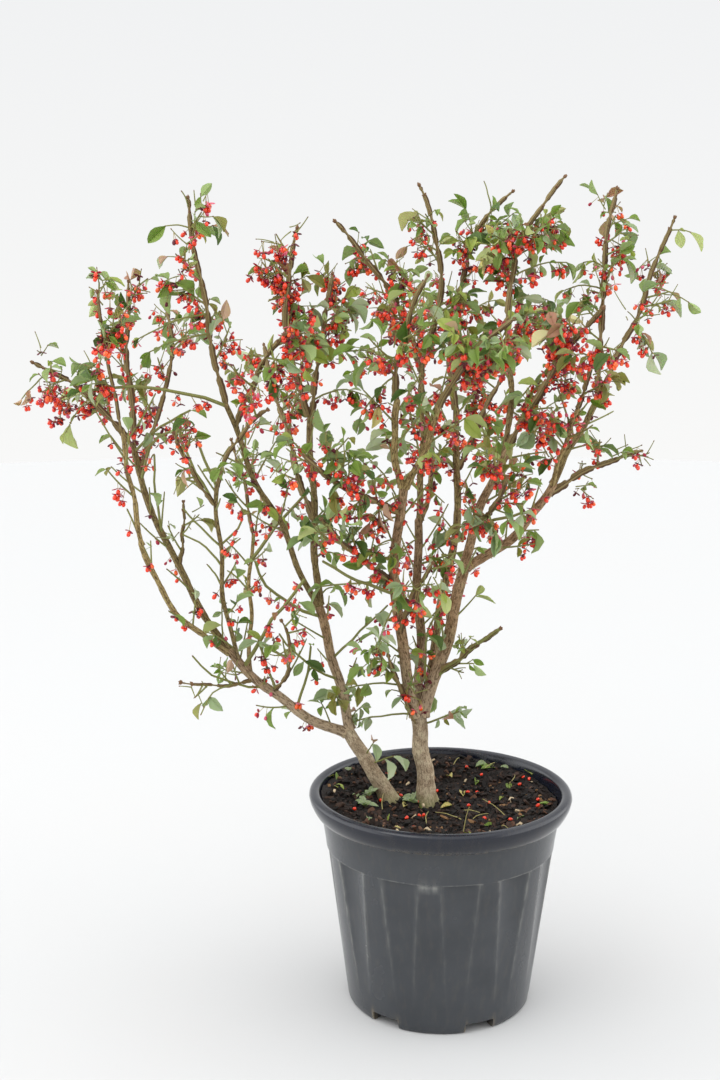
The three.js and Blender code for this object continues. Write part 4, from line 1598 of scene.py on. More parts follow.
SPLIT_TINTS = ("#b39775", "#82674a", "#46341f", "#6b5643", "#8b8655")
SPLIT_BARK = Bark("bark_split", *SPLIT_TINTS, moss_share=0.25, furrow_mm=1.9, crack=0.85)
WINGED_TINTS = ("#b5a16f", "#8d7a4e", "#4f3f26", "#684f36", "#8f8f4c")
WINGED_BARK = Bark("bark_winged", *WINGED_TINTS, moss_share=0.4, furrow_mm=1.6, crack=1)


@dataclass
class BarkedLimb:
    """A trunk or bough with its bark: furrows, node rings, corky wings where it is young, domed tip."""

    limb: Limb
    sides: int = 32
    ring_mm: float = 2.3
    dome_rings: int = 4
    dome_turn: float = 82
    furrow_mm: float = 3.4
    stretch: float = 0.08
    node_mm: float = 54
    young_radius: float = 5.7
    young_slim: float = 0.88
    wing_mm: float = 0.8
    split_width: float = 0.28
    split_depth: Pair = (0.12, 0.04)
    split_level: float = 0.75
    lumps: float = 0.03
    node_swell: Pair = (0.1, 0.035)
    node_half: float = 3.2
    collar: float = 0.35
    collar_mm: float = 5
    root_ridge: float = 0.1
    root_mm: float = 14
    pale_top: float = 520
    pale_span: float = 110
    moss_span: float = 22
    moss_share: float = 0.55
    # Light kept on the listed boughs' bark: painted shade.
    weathered_light: float = 0.68

    def build(self) -> None:
        """Models the limb from a rod."""
        limb, mean = self.limb, float(np.mean(self.limb.radii))
        rings = max(12, round(limb.length / self.ring_mm))
        rod = model_rod(self.sides, rings + self.dome_rings)
        base = points_of(rod)
        ring = np.round(base[:, 2] * (rings + self.dome_rings))
        t = np.minimum(ring / rings, 1)
        dome = np.radians(np.maximum(ring - rings, 0) / self.dome_rings * self.dome_turn)
        turn = np.arctan2(base[:, 1], base[:, 0])
        run = t * limb.length
        radius = limb.radius(t) * (self.young_slim if mean < self.young_radius else 1)
        bark, cork = self.bark_relief(turn, t, radius)
        reach = (radius + bark) * np.cos(dome)
        beyond = radius * np.sin(dome) * 0.8
        cos, sin = np.cos(turn)[:, None], np.sin(turn)[:, None]
        points = limb.points(t) + beyond[:, None] * limb.along(t)
        points += reach[:, None] * (cos * limb.side(t) + sin * limb.normal)
        move_points(rod, points * MM)
        write_chart(rod, np.column_stack([np.cos(turn) * mean, np.sin(turn) * mean, run]))
        height = points[:, 2]
        moss = np.clip(1 - (height - SOIL_TOP) / self.moss_span, 0, 1) * self.moss_share * (limb.flare > 0)
        pale = np.clip((self.pale_top - height) / self.pale_span, 0, 0.8) * (limb.flare == 0)
        write_chart(rod, np.column_stack([cork, moss, pale]), CORK)
        with editing(rod):
            bpy.ops.mesh.normals_make_consistent(inside=False)
        keep(rod, f"{limb.name}_bark", Slot.BARK, [self.finish()], 75, (limb.name,))

    def finish(self) -> Finish:
        """Picks the bark by the limb's age, which its thickness tells, darker as painted shade on the listed
        boughs.

        Returns:
            The bark.
        """
        if self.limb.flare:
            return Bark()
        bark = SPLIT_BARK if np.mean(self.limb.radii) > self.young_radius else WINGED_BARK
        if self.limb.name in SHADED_BOUGHS:
            return replace(bark, name=f"{bark.name}_weathered", light=self.weathered_light)
        return bark

    def bark_relief(self, turn: Array, t: Array, radius: Array) -> tuple[Array, Array]:
        """Works out how far the bark stands out of the limb.

        Args:
            turn: Angles round the limb.
            t: Fractions of it.
            radius: Its radii in mm.

        Returns:
            The height of the bark in mm, and the share of corky wing.
        """
        limb, run = self.limb, t * self.limb.length
        around = np.column_stack([np.cos(turn) * radius, np.sin(turn) * radius, run * self.stretch])
        shift = 50 * limb.phases[0]
        split = np.clip(np.abs(relief(around + shift, self.furrow_mm, 3)) / self.split_width, 0, 1)
        depth = self.split_depth[0] + self.split_depth[1] * radius
        lumps = self.lumps * radius * relief(around * 0.3 + shift, 5, 2)
        height = depth * (split - self.split_level) + lumps
        to_node = limb.to_node(t, self.node_mm, 1)
        swell = self.node_swell[0] + self.node_swell[1] * radius
        height += swell * bell(to_node, self.node_half)
        height += self.collar * radius * np.exp(-run / self.collar_mm) * (limb.flare == 0)
        roots = np.cos(3 * turn + limb.phases[0]) + 0.6 * np.cos(5 * turn + limb.phases[1])
        height += self.root_ridge * radius * roots * np.exp(-run / self.root_mm) * (limb.flare > 0)
        if np.mean(limb.radii) > self.young_radius:
            return height, np.zeros_like(run)
        on_wing = np.round(turn / TURN * self.sides) % (self.sides // 4) == 0
        ragged = 0.85 + 0.4 * relief(np.column_stack([np.round(turn * 2), 0 * run, run]), 22, 2)
        wing = on_wing * np.clip((to_node - 5) / 4, 0, 1) * np.clip(ragged, 0.3, 1.2)
        return height + self.wing_mm * wing, wing


LEFT_END, RIGHT_START, BACK_START = -200, 60, 160


class Side(Enum):
    """Parts of the crown, whose small pieces are joined."""

    LEFT = "left"
    CENTRE = "centre"
    RIGHT = "right"
    BACK = "back"

    @classmethod
    def of(cls, place: Array | Triple) -> "Side":
        """Tells which part of the crown a place is in.

        Args:
            place: The place in mm.

        Returns:
            Its part.
        """
        if place[1] > BACK_START:
            return cls.BACK
        if place[0] < LEFT_END:
            return cls.LEFT
        return cls.RIGHT if place[0] > RIGHT_START else cls.CENTRE


@dataclass
class Spray:
    """A twig and what it carries: how many pairs of leaves, its share of fruit and its leaves' tint."""

    twig: Limb
    pairs: int
    fruit: float
    tint: int
    side: Side
    first: float = 0.35
    fullness: float = 1


LEAF_TINTS = (
    ("mid_green", "#768b3f", "#98aa70", 0.38),
    ("grey_green", "#909f77", "#b0bb97", 0.16),
    ("dark_green", "#4c6128", "#82945c", 0.17),
    ("yellow_green", "#939f4a", "#a9b272", 0.12),
    ("olive", "#807b3b", "#a09c64", 0.1),
    ("bronze", "#a07258", "#b8977e", 0.055),
    ("pale_yellow", "#c2b673", "#cfc793", 0.015),
)
TINT_SHARES = tuple(share for *_, share in LEAF_TINTS)


def pick(draws: Draws, shares: tuple[float, ...]) -> int:
    """Draws a choice by its shares.

    Args:
        draws: The seeded draws.
        shares: The choices' shares, one in all.

    Returns:
        The number of the choice.
    """
    level = draws.share()
    for i, share in enumerate(shares):
        level -= share
        if level < 0:
            return i
    return len(shares) - 1


@dataclass
class Crown:
    """All that grows: boughs, stems, twigs and shoots, in mm."""

    core_share: float = 0.58
    wing_share: float = 0.85
    wing_turn: float = math.radians(7)
    wing_foot_turn: float = math.radians(17)
    stem_rings: int = 56
    stem_columns: int = 20
    node_mm: float = 42
    twig_pairs: int = 2
    finer: int = 4
    finer_pairs: int = 1
    finer_reach: float = 0.5
    place_share: float = 0.72
    finer_span: Pair = (0.3, 0.95)
    finer_rises: Pair = (-0.15, 0.2)
    finer_lengths: Pair = (0.35, 0.62)
    finer_angles: Pair = (math.radians(38), math.radians(62))
    sprig_spacing: float = 28
    sprig_span: Pair = (0.22, 1)
    sprig_angles: Pair = (0.7, 1.2)
    sprig_rises: Pair = (-0.1, 0.2)
    sprig_lengths: Pair = (28, 70)
    sprig_fruit: float = 0.45
    shoot_fullness: float = 1.8
    bud_mm: Pair = (6, 2.8)
    bud_sizes: Pair = (0.75, 1.15)
    bud_spacing: float = 45

    def grow(self) -> None:
        """Grows every limb and spray."""
        self.limbs = grow_limbs()
        self.stems = [grow_stem(row, self.limbs) for row in MASSES]
        boughs = list(self.limbs.values())
        self.thicket = Thicket(boughs, self.stems, [row.reach for row in MASSES])
        self.sprays: list[Spray] = []
        for own, (row, stem) in enumerate(zip(MASSES, self.stems)):
            self.grow_mass(own, row, stem)
        for limb in boughs:
            self.grow_sprigs(limb)
        self.sprays = [spray for spray in self.sprays if self.has_place(spray)]
        self.grow_shoots()

    def has_place(self, spray: Spray) -> bool:
        """Tells whether a spray stands, which is rarer where the crown is open."""
        chance = self.place_share * max(lushness(spray.twig.tip)) ** 0.5
        return Draws(f"{spray.twig.name}_place").share() < chance

    def grow_mass(self, own: int, row: Mass, stem: Limb) -> None:
        """Grows a mass's side twigs and their finer twigs.

        Args:
            own: Number of the mass.
            row: The mass.
            stem: Its stem.
        """
        side = Side.of(stem.tip)
        for twig in side_twigs(row, stem):
            if not self.thicket.is_free(twig.samples[1:], own, False):
                continue
            draws = Draws(f"{twig.name}_spray")
            tint = pick(draws, TINT_SHARES)
            self.sprays.append(Spray(twig, self.twig_pairs, row.fruit, tint, side))
            first_turn = draws.share() * TURN
            for i in range(self.finer):
                t = lerp(*self.finer_span, (i + draws.share()) / self.finer)
                heading = twig.heading(t, draws.between(*self.finer_angles), first_turn + i * GOLDEN_ANGLE)
                length = row.reach * self.finer_reach * draws.between(*self.finer_lengths)
                rise = length * draws.between(*self.finer_rises)
                finer = twig.twig(f"{twig.name}_{i}", t, heading, length, rise)
                if self.thicket.is_free(finer.samples[2:], own, True):
                    self.sprays.append(Spray(finer, self.finer_pairs, row.fruit, tint, side, 0.5))

    def grow_shoots(self) -> None:
        """Grows the thin shoots that cross the crown, which the photo shows one by one."""
        known = {limb.name: limb for limb in (*self.limbs.values(), *self.stems)}
        for row in SHOOTS:
            shoot = known[row.name] = known[row.on].carry(row, row.radii)
            draws = Draws(f"{row.name}_spray")
            tint = pick(draws, TINT_SHARES) if row.tint is None else row.tint
            side = Side.of(row.tip)
            self.sprays.append(Spray(shoot, row.leaves, row.fruit, tint, side, 0.25, self.shoot_fullness))

    def grow_sprigs(self, limb: Limb) -> None:
        """Grows short leafy sprigs along a bough's sides.

        Args:
            limb: The bough.
        """
        draws = Draws(f"{limb.name}_sprigs")
        count = round(limb.length / self.sprig_spacing) if not limb.flare else 0
        turn = draws.share() * TURN
        for i in range(count):
            t = lerp(*self.sprig_span, (i + draws.share()) / count)
            turn += GOLDEN_ANGLE
            heading = unit(limb.heading(t, draws.between(*self.sprig_angles), turn) + 0.25 * UP)
            length = draws.between(*self.sprig_lengths)
            rise = length * draws.between(*self.sprig_rises)
            sprig = limb.twig(f"{limb.name}_sprig_{i}", t, heading, length, rise)
            clear = self.thicket.room(sprig.samples[5:])[1].min() > 1
            if clear and (sprig.samples[3:, 2] > LOWEST_FOLIAGE + 30).all():
                tint, side = pick(draws, TINT_SHARES), Side.of(sprig.tip)
                self.sprays.append(Spray(sprig, self.twig_pairs, self.sprig_fruit, tint, side))

    def stem_template(self) -> Template:
        """Models the rod that becomes a winged stem.

        Returns:
            The rod, its wings' faces in the second slot.
        """
        rod = model_rod(self.stem_columns, self.stem_rings)
        for face in rod.data.polygons:
            turn = math.atan2(face.center.y, face.center.x) / TURN * self.stem_columns
            quarter = (turn % (self.stem_columns / 4)) if len(face.vertices) == 4 else 2.5
            face.material_index = int(quarter < 1.5 or quarter > self.stem_columns / 4 - 0.5)
        return Template.take(rod)

    def wing_along(self, template: Template, limb: Limb, slim: float) -> Array:
        """Bends a stem's rod along its limb and draws its four corky wings out.

        Args:
            template: The rod.
            limb: The stem's middle line.
            slim: Its thickness as a share of the limb's.

        Returns:
            The points in mm.
        """
        x, y, t = template.points.T
        columns, last = self.stem_columns, self.stem_columns // 4 - 1
        column = np.round(np.arctan2(y, x) / TURN * columns)
        quarter = column % (last + 1)
        middle = (column - quarter + 0.5) / columns * TURN
        turn = np.where(quarter <= 1, middle + (quarter - 0.5) * self.wing_turn, column / columns * TURN)
        turn = np.where(quarter == 2, middle + self.wing_foot_turn, turn)
        turn = np.where(quarter == last, middle + TURN / 4 - self.wing_foot_turn, turn)
        to_node = limb.to_node(t, self.node_mm, 0)
        window = np.clip((to_node - 3) / 3, 0, 1) * np.clip((1 - t) * limb.length / 6, 0, 1)
        ragged = 0.85 + 0.25 * np.sin(t * limb.length / 5.3 + column) * np.sin(t * limb.length / 3.1)
        source = limb.radius(t) * slim
        core = source * self.core_share * (1 + 0.16 * bell(to_node, 2.5))
        core = core * np.where(np.isin(quarter, (2, last)), 1.02, 1) * np.where(t > 0.999, 0.6, 1)
        radius = core + np.where(quarter <= 1, source * self.wing_share * window * ragged, 0)
        across = np.cos(turn)[:, None] * limb.side(t) + np.sin(turn)[:, None] * limb.normal
        return limb.points(t) + radius[:, None] * across

    def bud(self) -> Template:
        """Models a pointed bud, one unit long, its foot at the origin.

        Returns:
            The bud.
        """
        sphere = bpy.ops.mesh.primitive_uv_sphere_add
        piece = apply_all(start(sphere, segments=4, ring_count=4, radius=0.5, location=(0, 0, 0.45)))
        points = points_of(piece)
        points[:, :2] *= (0.75 - 0.55 * np.clip(points[:, 2], 0, 1) ** 2)[:, None]
        move_points(piece, points)
        return Template.take(piece)

    def build(self) -> None:
        """Models the boughs one by one, and the stems and twigs of each part of the crown."""
        for limb in self.limbs.values():
            BarkedLimb(limb).build()
        stem_rod, twig_rod, bud = self.stem_template(), Template.take(model_rod(5, 6)), self.bud()
        for side in Side:
            rows = [(row, stem) for row, stem in zip(MASSES, self.stems) if Side.of(row.tip) is side]
            names = tuple(row.name for row, _ in rows)
            stems, twigs, buds = (Heap(f"{kind}_{side.value}") for kind in ("stems", "twigs", "buds"))
            for row, stem in rows:
                stems.add(stem_rod, self.wing_along(stem_rod, stem, row.slim))
                self.add_buds(buds, bud, stem, self.bud_mm[0])
            for spray in self.sprays:
                if spray.side is side:
                    twigs.add(twig_rod, twig_rod.along(spray.twig))
                    self.add_buds(buds, bud, spray.twig, self.bud_mm[1])
            rinds = Rind("rind_olive", "#85744a"), Rind("cork_wing", "#5a4631", 0.9, 1)
            stems.build(Slot.BARK, *rinds, nodes=names)
            twigs.build(Slot.FOLIAGE, Rind("rind_green", "#7f8148"), nodes=names)
            buds.build(Slot.BARK, Rind("bud_scale", "#78593d", 0.6, 0.8))

    def add_buds(self, heap: Heap, bud: Template, limb: Limb, size: float) -> None:
        """Adds the crown of buds at a tip and pairs of buds below it.

        Args:
            heap: The joined buds.
            bud: The bud's shape.
            limb: The stem or twig.
            size: A bud's length in mm.
        """
        draws = Draws(f"{limb.name}_buds")
        places = [(1.0, 0.0, 0.0)]
        if size == self.bud_mm[0]:
            places += [(0.995, 0.55, i * TURN / 4 + draws.share()) for i in range(4)]
        pairs = int(limb.length / self.bud_spacing)
        for i in range(pairs):
            turn = draws.share() * TURN
            places += [(1 - (i + 0.6) / (pairs + 1) * 0.7, 0.75, turn + side * math.pi) for side in (0, 1)]
        for t, spread, turn in places:
            heading = limb.heading(t, spread, turn)
            axes = frame_on(heading, UP + 0.01)
            turned = np.column_stack([axes[:, 0], axes[:, 2], heading])
            length = size * draws.between(*self.bud_sizes)
            heap.add(bud, bud.points @ turned.T * length + limb.points(t) - heading * 0.12 * length)


@dataclass
class Leaves:
    """Leaves: pointed ovals, folded along the midrib, arched and drooping, in opposite pairs."""

    kinds: int = 6
    lengths: Pair = (13, 34)
    small_share: float = 1.6
    widths: Pair = (0.42, 0.58)
    thickness: float = 0.011
    stalk: float = 0.07
    last: float = 0.93
    spreads: Pair = (1.05, 0.35)
    clearance: float = 2
    node_share: float = 0.33
    keep_share: float = 0.74
    stray_tints: float = 0.25
    fold: Pair = (0.2, 0.75)
    arch: Pair = (0.1, 0.75)
    droops: Pair = (0.1, 1.1)
    leans: tuple[Pair, ...] = ((-1, 1), (-1, 1), (0.1, 1.3))

    def model(self, kind: int) -> Template:
        """Models one leaf, one unit long, along Y from its stalk at the origin.

        Args:
            kind: Number of the kind, which seeds its fold, arch and twist.

        Returns:
            The leaf, its underside in the second slot.
        """
        draws = Draws(f"leaf_{kind}")
        fold, arch = draws.between(*self.fold), draws.between(*self.arch) * 1.6
        twist, wave, belly = draws.between(-0.5, 0.5), draws.between(0.01, 0.035), draws.between(0.85, 1.15)
        grid = bpy.ops.mesh.primitive_grid_add
        leaf = apply_all(start(grid, x_subdivisions=2, y_subdivisions=6, size=1, location=(0, 0.5, 0)))
        points = points_of(leaf)
        across, along = points[:, 0] * 2, points[:, 1]
        blade = np.clip((along - self.stalk) / (1 - self.stalk), 0, 1)
        width = np.sin(math.pi * blade**belly) ** 0.8 * (1 - 0.25 * blade) * 1.08
        x = across * (0.5 * np.maximum(width, 0.045))
        lift = fold * np.abs(x) + wave * np.sin(along * 15 + across) * np.abs(across)
        bend, turn = arch * along, twist * along
        y = np.sin(bend) / arch + lift * np.sin(bend)
        z = lift * np.cos(bend) - (1 - np.cos(bend)) / arch
        move_points(leaf, np.column_stack([x * np.cos(turn), y, z + x * np.sin(turn)]))
        for face in ("upper", "under"):
            leaf.data.materials.append(bpy.data.materials.new(face))
        shell = leaf.modifiers.new("thickness", "SOLIDIFY")
        shell.thickness = self.thickness
        shell.offset = 0
        shell.material_offset = 1
        shell.material_offset_rim = 0
        return Template.take(apply_all(leaf))

    def chart(self, template: Template) -> Array:
        """Returns where each vertex lies across and along its blade, for the veins."""
        return template.points * (2, 1, 0)

    def build(self, sprays: list[Spray], thicket: Thicket) -> None:
        """Sets leaves in opposite pairs on every spray.

        Args:
            sprays: The sprays.
            thicket: The boughs that a leaf stays clear of.
        """
        kinds = [self.model(i) for i in range(self.kinds)]
        heaps = [Heap(f"leaves_{name}", 50) for name, *_ in LEAF_TINTS]
        for spray in sprays:
            twig, draws = spray.twig, Draws(f"{spray.twig.name}_blades")
            turn = draws.share() * TURN
            shares = ((i + 0.5) / spray.pairs for i in range(spray.pairs))
            nodes = [(lerp(spray.first, self.last, share), self.spreads[0]) for share in shares]
            for t, spread in nodes + [(1.0, self.spreads[1])] * (spray.pairs > 0):
                turn += TURN / 4
                root = twig.points(t)
                full = draws.share() < self.node_share * (spray.fullness * lushness(root)[0] ** 0.8)
                for half in (0, math.pi):
                    kept = draws.share() < self.keep_share and full
                    tint = pick(draws, TINT_SHARES) if draws.share() < self.stray_tints else spray.tint
                    kind = kinds[int(draws.share() * self.kinds)]
                    length = lerp(*self.lengths, draws.share() ** self.small_share)
                    width = draws.between(*self.widths)
                    heading = twig.heading(t, spread + draws.between(-0.3, 0.3), turn + half)
                    heading = unit(heading - UP * draws.between(*self.droops))
                    lean = unit([draws.between(*span) for span in self.leans])
                    if not kept:
                        continue
                    foot = root + heading * twig.radius(t) * 0.6
                    middle = foot + heading * length * 0.55
                    clear = thicket.room(middle[None])[1][0] >= self.clearance
                    if middle[2] < LOWEST_FOLIAGE - 8 or not clear:
                        continue
                    size = np.array([width, 1, 1]) * length
                    points = (kind.points * size) @ frame_on(heading, lean).T + foot
                    heaps[tint].add(kind, points, chart=self.chart(kind))
        for heap, (name, upper, under, _) in zip(heaps, LEAF_TINTS):
            skins = LeafSkin(f"leaf_{name}", upper), LeafSkin(f"leaf_{name}_under", under, 0.6)
            heap.build(Slot.FOLIAGE, *skins)


class Fruit(Enum):
    """How far a fruit has opened: its share, its valves, how they splay and where its seeds hang, in mm."""

    SINGLE = (0.48, 2, 1.1, (0,))
    TWIN = (0.22, 3, 1.2, (-2.5, 2.5))
    CLOSED = (0.14, 0, 0, ())
    EMPTY = (0.16, 3, 0.9, ())


@dataclass
class Fruits:
    """Fruits that hang on thin stalks: splayed capsule valves over orange-red seeds, in mm."""

    stalk_mm: float = 11
    stalk_radius: float = 0.42
    seed_mm: Triple = (6.3, 6.3, 7.7)
    valve_mm: Triple = (5, 1.7, 7.8)
    capsule_mm: Triple = (5.2, 5.2, 6.6)
    cluster: tuple[float, ...] = (0.6, 0.3, 0.1)
    spacing: float = 8
    first: float = 0.12
    tilt: float = 0.95
    share: float = 0.68
    stalk_shares: Pair = (0.6, 1.5)
    sizes: Pair = (0.85, 1.15)
    tints: tuple[tuple[str, str, float], ...] = (
        ("crimson", "#a3203a", 0.55),
        ("pink", "#cf5a72", 0.25),
        ("maroon", "#5f1725", 0.2),
    )
    seed_coat: Finish = FruitSkin("seed_coat", "#ec3a12", 0.25, 0.5)

    def bead(self, segments: int, rings: int) -> Template:
        """Models a rounded bead of diameter one that tapers upwards.

        Args:
            segments: How many sides it has.
            rings: How many rings it has.

        Returns:
            The bead.
        """
        sphere = bpy.ops.mesh.primitive_uv_sphere_add
        piece = start(sphere, segments=segments, ring_count=rings, radius=0.5)
        points = points_of(piece)
        points[:, :2] *= 1 - 0.25 * (points[:, 2:] + 0.5)
        move_points(piece, points)
        return Template.take(piece)

    def valve(self, turn: float, splay: float) -> Array:
        """Bends a bead into a valve that splays from the top of its stalk.

        Args:
            turn: Its direction round the stalk.
            splay: Its angle from hanging straight down.

        Returns:
            The valve's points.
        """
        points = self.flat.points * self.valve_mm
        along = 0.5 - points[:, 2] / self.valve_mm[2]
        bent = points + np.column_stack([0 * along, 1.6 * along**2, 0 * along])
        bent[:, 2] = -self.valve_mm[2] * along
        return bent @ turned_by(0, 0, splay).T @ turned_by(turn, 0, 0).T + (0, 0, -self.stalk_mm)

    def build(self, sprays: list[Spray]) -> None:
        """Hangs clusters of fruits from every spray.

        Args:
            sprays: The sprays.
        """
        self.round, self.flat = self.bead(7, 5), self.bead(5, 4)
        self.rod = Template.take(model_rod(3, 1))
        self.seeds, self.stalks = Heap("fruit_seeds"), Heap("fruit_stalks")
        self.valves = [Heap(f"fruit_valves_{name}") for name, *_ in self.tints]
        kinds = list(Fruit)
        for spray in sprays:
            draws = Draws(f"{spray.twig.name}_fruit")
            places = max(2, round(spray.twig.length / self.spacing)) if spray.fruit else 0
            for i in range(places):
                t = lerp(self.first, 1, (i + draws.share()) / places)
                root = spray.twig.points(t)
                if draws.share() > spray.fruit * self.share * lushness(root)[1]:
                    continue
                for _ in range(pick(draws, self.cluster) + 1):
                    yaw, tilt = draws.share() * TURN, draws.between(0, self.tilt)
                    turned = turned_by(yaw, tilt, 0) * draws.between(*self.sizes)
                    kind = kinds[pick(draws, tuple(kind.value[0] for kind in kinds))]
                    ripe = pick(draws, tuple(share for *_, share in self.tints))
                    self.hang(kind, turned, root, ripe, draws.between(*self.stalk_shares))
        pale_coat = FruitSkin("seed_coat_light", "#f76428", 0.25, 0.5)
        self.seeds.build(Slot.FOLIAGE, self.seed_coat, pale_coat)
        self.stalks.build(Slot.FOLIAGE, Rind("fruit_stalk", "#9a8a4e"))
        for heap, (name, tint, _) in zip(self.valves, self.tints):
            heap.build(Slot.FOLIAGE, FruitSkin(f"capsule_{name}", tint, 0.45))

    def hang(self, kind: Fruit, turned: Array, root: Array, ripe: int, longer: float) -> None:
        """Hangs one fruit.

        Args:
            kind: How far it has opened.
            turned: Its turn and size.
            root: Where its stalk starts.
            ripe: Number of the capsule's tint.
            longer: Its stalk's length as a share of the usual.
        """

        def place(points: Array) -> Array:
            """Returns points turned and moved to the fruit's place."""
            return (points + (0, 0, self.stalk_mm * (1 - longer))) @ turned.T + root

        stem = self.rod.points * (self.stalk_radius, self.stalk_radius, -self.stalk_mm * longer - 1)
        self.stalks.add(self.rod, stem @ turned.T + root)
        _, count, splay, offsets = kind.value
        heap = self.valves[-1 if kind is Fruit.EMPTY else ripe]
        if kind is Fruit.CLOSED:
            heap.add(self.round, place(self.round.points * self.capsule_mm + (0, 0, -self.stalk_mm - 3)))
        for i in range(count):
            heap.add(self.flat, place(self.valve(i * TURN / count + root[0], splay)))
        drop = -self.stalk_mm - 0.5 * self.seed_mm[2] - 1.2
        for offset in offsets:
            self.seeds.add(self.round, place(self.round.points * self.seed_mm + (offset, 0, drop)), ripe % 2)


@dataclass
class Litter:
    """What has fallen on the potting mix, as the photo shows it, and the sprouts that grow in it, in mm."""

    mix: PottingMix
    foliage: Leaves
    leaves: tuple[tuple[int, int, int], ...] = (
        (-143, 61, 28), (-130, 91, 20), (-125, 122, 22), (-155, 66, 20), (80, 118, 30), (68, 122, 20),
        (134, 98, 22), (19, 107, 20), (57, 86, 16), (-118, 16, 22), (-77, -46, 27), (9, 0, 18),
        (145, -22, 20), (102, 115, 16), (88, 23, 12), (-48, 8, 20), (-25, 10, 17), (-100, -70, 17),
        (30, -110, 15), (-62, -98, 18), (62, -78, 16), (108, -52, 18), (-142, 22, 24), (36, 52, 18),
        (103, 68, 20),
    )
    sprouts: tuple[tuple[int, int], ...] = ((-99, 22), (-106, -12), (-40, 16), (-33, 42))
    seeds: tuple[tuple[int, int], ...] = (
        (-73, 95), (-53, 51), (-29, 18), (-1, 60), (46, 121), (66, 102), (57, 65), (43, 59), (71, 23),
        (41, 9), (125, 80), (133, 73), (117, 56), (137, -3), (134, -27), (93, -58), (59, -41), (-30, -30),
        (-24, -28), (-48, -41), (-40, -83), (-83, 19), (-120, -50), (10, -120),
    )
    seed_mm: Triple = (5.8, 5.8, 6.8)
    seed_lift: float = 3.2
    leaf_lift: float = 2.5
    sprout_leaves: int = 7
    sprout_lengths: Pair = (12, 22)
    stalks: int = 14
    stalk_lengths: Pair = (14, 42)
    stalk_radii: Pair = (0.8, 0.4)
    tints: tuple[str, ...] = ("mid_green", "grey_green", "yellow_green", "pale_yellow")

    def build(self, fruits: Fruits) -> None:
        """Lays leaves, seeds and dry stalks on the mix and sets the sprouts.

        Args:
            fruits: The fruits' maker.
        """
        dice = np.random.default_rng(21)
        self.lay_leaves(dice)
        seeds = Heap("fallen_seeds")
        for x, y in self.seeds:
            turned = turned_by(*dice.uniform(0, TURN, 3)) * dice.uniform(0.85, 1.1)
            bead = fruits.round.points * self.seed_mm
            seeds.add(fruits.round, bead @ turned.T + self.mix.on_ground(x, y, self.seed_lift))
        seeds.build(Slot.FOLIAGE, fruits.seed_coat)
        rod, stalks = Template.take(model_rod(4, 5)), Heap("dry_stalks")
        for i in range(self.stalks):
            turn, far = dice.uniform(0, TURN), self.mix.rim_radius * math.sqrt(dice.uniform(0.02, 0.8))
            foot = self.mix.on_ground(far * math.cos(turn), far * math.sin(turn), 2)
            heading = unit([dice.normal(), dice.normal(), abs(dice.normal(0, 0.25))])
            length = dice.uniform(*self.stalk_lengths)
            bend = np.array([dice.normal(0, 3), dice.normal(0, 3), 4])
            pull, tip = foot + heading * length / 2 + bend, foot + heading * length
            stalks.add(rod, rod.along(Limb(f"dry_{i}", foot, pull, tip, self.stalk_radii)))
        stalks.build(Slot.MIX, Rind("dry_stalk", "#a39a62"))

    def lay_leaves(self, dice: np.random.Generator) -> None:
        """Lays the fallen leaves and sets the sprouts.

        Args:
            dice: The seeded draws.
        """
        kinds = [self.foliage.model(i) for i in range(3)]
        heap = Heap("fallen_leaves", 50)
        finishes = [LeafSkin(f"leaf_{name}", tint) for name, tint, *_ in LEAF_TINTS if name in self.tints]

        def lay(number: int, length: float, axes: Array, root: Array, slot: int) -> None:
            """Adds one leaf of a single tint.

            Args:
                number: Number of the leaf.
                length: Its length.
                axes: Its turn.
                root: Its foot.
                slot: Its tint.
            """
            kind = kinds[number % len(kinds)]
            points = (kind.points * (0.5 * length, length, length)) @ axes.T + root
            plain = Template(points, kind.corners, kind.counts, 0 * kind.slots)
            heap.add(plain, points, slot, self.foliage.chart(kind))

        for i, (x, y, length) in enumerate(self.leaves):
            heading = unit([dice.normal(), dice.normal(), dice.uniform(0, 0.35)])
            lean = np.array([dice.normal(0, 0.3), dice.normal(0, 0.3) - 0.3, 1])
            root = self.mix.on_ground(x, y, self.leaf_lift) - heading * length / 2
            lay(i, length, frame_on(heading, lean), root, i % len(finishes))
        for x, y in self.sprouts:
            for i in range(self.sprout_leaves):
                turn = i * GOLDEN_ANGLE
                heading = unit([math.cos(turn), math.sin(turn), dice.uniform(0.2, 1.6)])
                length = dice.uniform(*self.sprout_lengths)
                lay(i, length, frame_on(heading, UP), self.mix.on_ground(x, y, 1), 1)
        heap.build(Slot.FOLIAGE, *finishes)


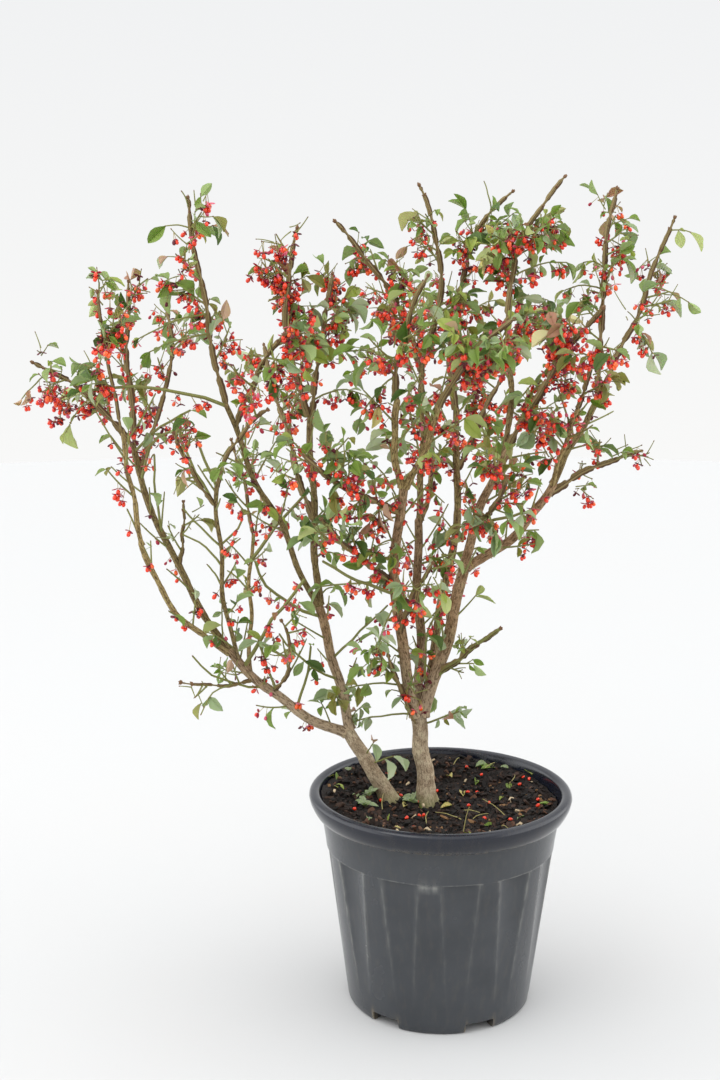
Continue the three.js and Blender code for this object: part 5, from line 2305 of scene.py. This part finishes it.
@dataclass
class Studio:
    """The floor, the light and the camera of a plain pale studio, in metres."""

    eye: Triple = (-0.112, -1.997, 1.029)
    tilt: float = 79.43
    lens: float = 50
    sensor: float = 36
    floor_radius: float = 6
    low_wall: str = "#f9f9f8"
    high_wall: str = "#f1f2f3"
    overhead: float = 0.8
    beside: float = 1.8
    key_place: Triple = (-1.3, -1.3, 2.6)
    key_aim: Triple = (0, 0, 0.6)
    key_size: float = 1.4
    key_watts: float = 12

    def build(self) -> None:
        """Sets the studio up."""
        self.lay_floor()
        self.light_world()
        light = bpy.data.lights.new("key", "AREA")
        light.size = self.key_size
        light.energy = self.key_watts
        aim = Vector(self.key_aim) - Vector(self.key_place)
        self.hang(light, self.key_place, aim.to_track_quat("-Z", "Y").to_euler())
        camera = bpy.data.cameras.new("camera")
        camera.lens = self.lens
        camera.sensor_width = self.sensor
        bpy.context.scene.camera = self.hang(camera, self.eye, (math.radians(self.tilt), 0, 0))
        bpy.context.scene.view_settings.view_transform = "Standard"

    def hang(self, data: bpy.types.ID, place: Triple, turn: Triple) -> Piece:
        """Hangs a light or a camera.

        Args:
            data: The light or the camera.
            place: Where it hangs.
            turn: How it is turned.

        Returns:
            Its object.
        """
        holder = bpy.data.objects.new(data.name, data)
        holder.location = place
        holder.rotation_euler = turn
        bpy.context.scene.collection.objects.link(holder)
        return holder

    def lay_floor(self) -> None:
        """Lays a pale round floor."""
        circle = bpy.ops.mesh.primitive_circle_add
        floor = start(circle, vertices=96, radius=self.floor_radius, fill_type="NGON")
        with editing(floor, "FACE"):
            bpy.ops.mesh.inset(thickness=self.floor_radius / 2)
        floor.name = "studio_floor"
        floor.data.materials.append(FloorPaint().material())

    def light_world(self) -> None:
        """Lights the scene from a white room that is brighter overhead and on both sides."""
        world = bpy.data.worlds.new("white_room")
        world.use_nodes = True
        add = partial(add_node, world.node_tree)
        east, _, up = add("SeparateXYZ", (add("TexCoord", out="Generated"),)).node.outputs
        level = add("MapRange", (up, -0.13, 0.16))
        above = add("MapRange", (up, 0.4, 0.8, 0, self.overhead), interpolation_type="SMOOTHSTEP")
        across = add("Math", (east,), operation="ABSOLUTE")
        panels = add("MapRange", (across, 0.6, 0.9, 0, self.beside), interpolation_type="SMOOTHSTEP")
        raised = add("MapRange", (up, -0.1, 0.1))
        sides = add("Math", (panels, raised, above), operation="MULTIPLY_ADD")
        wall = add("Mix", {SHARE: level, A: self.low_wall, B: self.high_wall}, **BLEND)
        strength = add("Math", (sides, 1), operation="ADD")
        feed(world.node_tree.nodes["Background"], {"Color": wall, "Strength": strength})
        bpy.context.scene.world = world


def main() -> None:
    """Builds the studio and the plant in its pot."""
    logging.basicConfig(level=logging.INFO, format="%(message)s")
    Studio().build()
    pot, mix = NurseryPot(), PottingMix()
    pot.build()
    mix.build(pot)
    mix.scatter()
    crown, foliage, fruits = Crown(), Leaves(), Fruits()
    crown.grow()
    crown.build()
    foliage.build(crown.sprays, crown.thicket)
    fruits.build(crown.sprays)
    Litter(mix, foliage).build(fruits)
    LOG.info("%d sprays", len(crown.sprays))


if __name__ == "__main__":
    main()
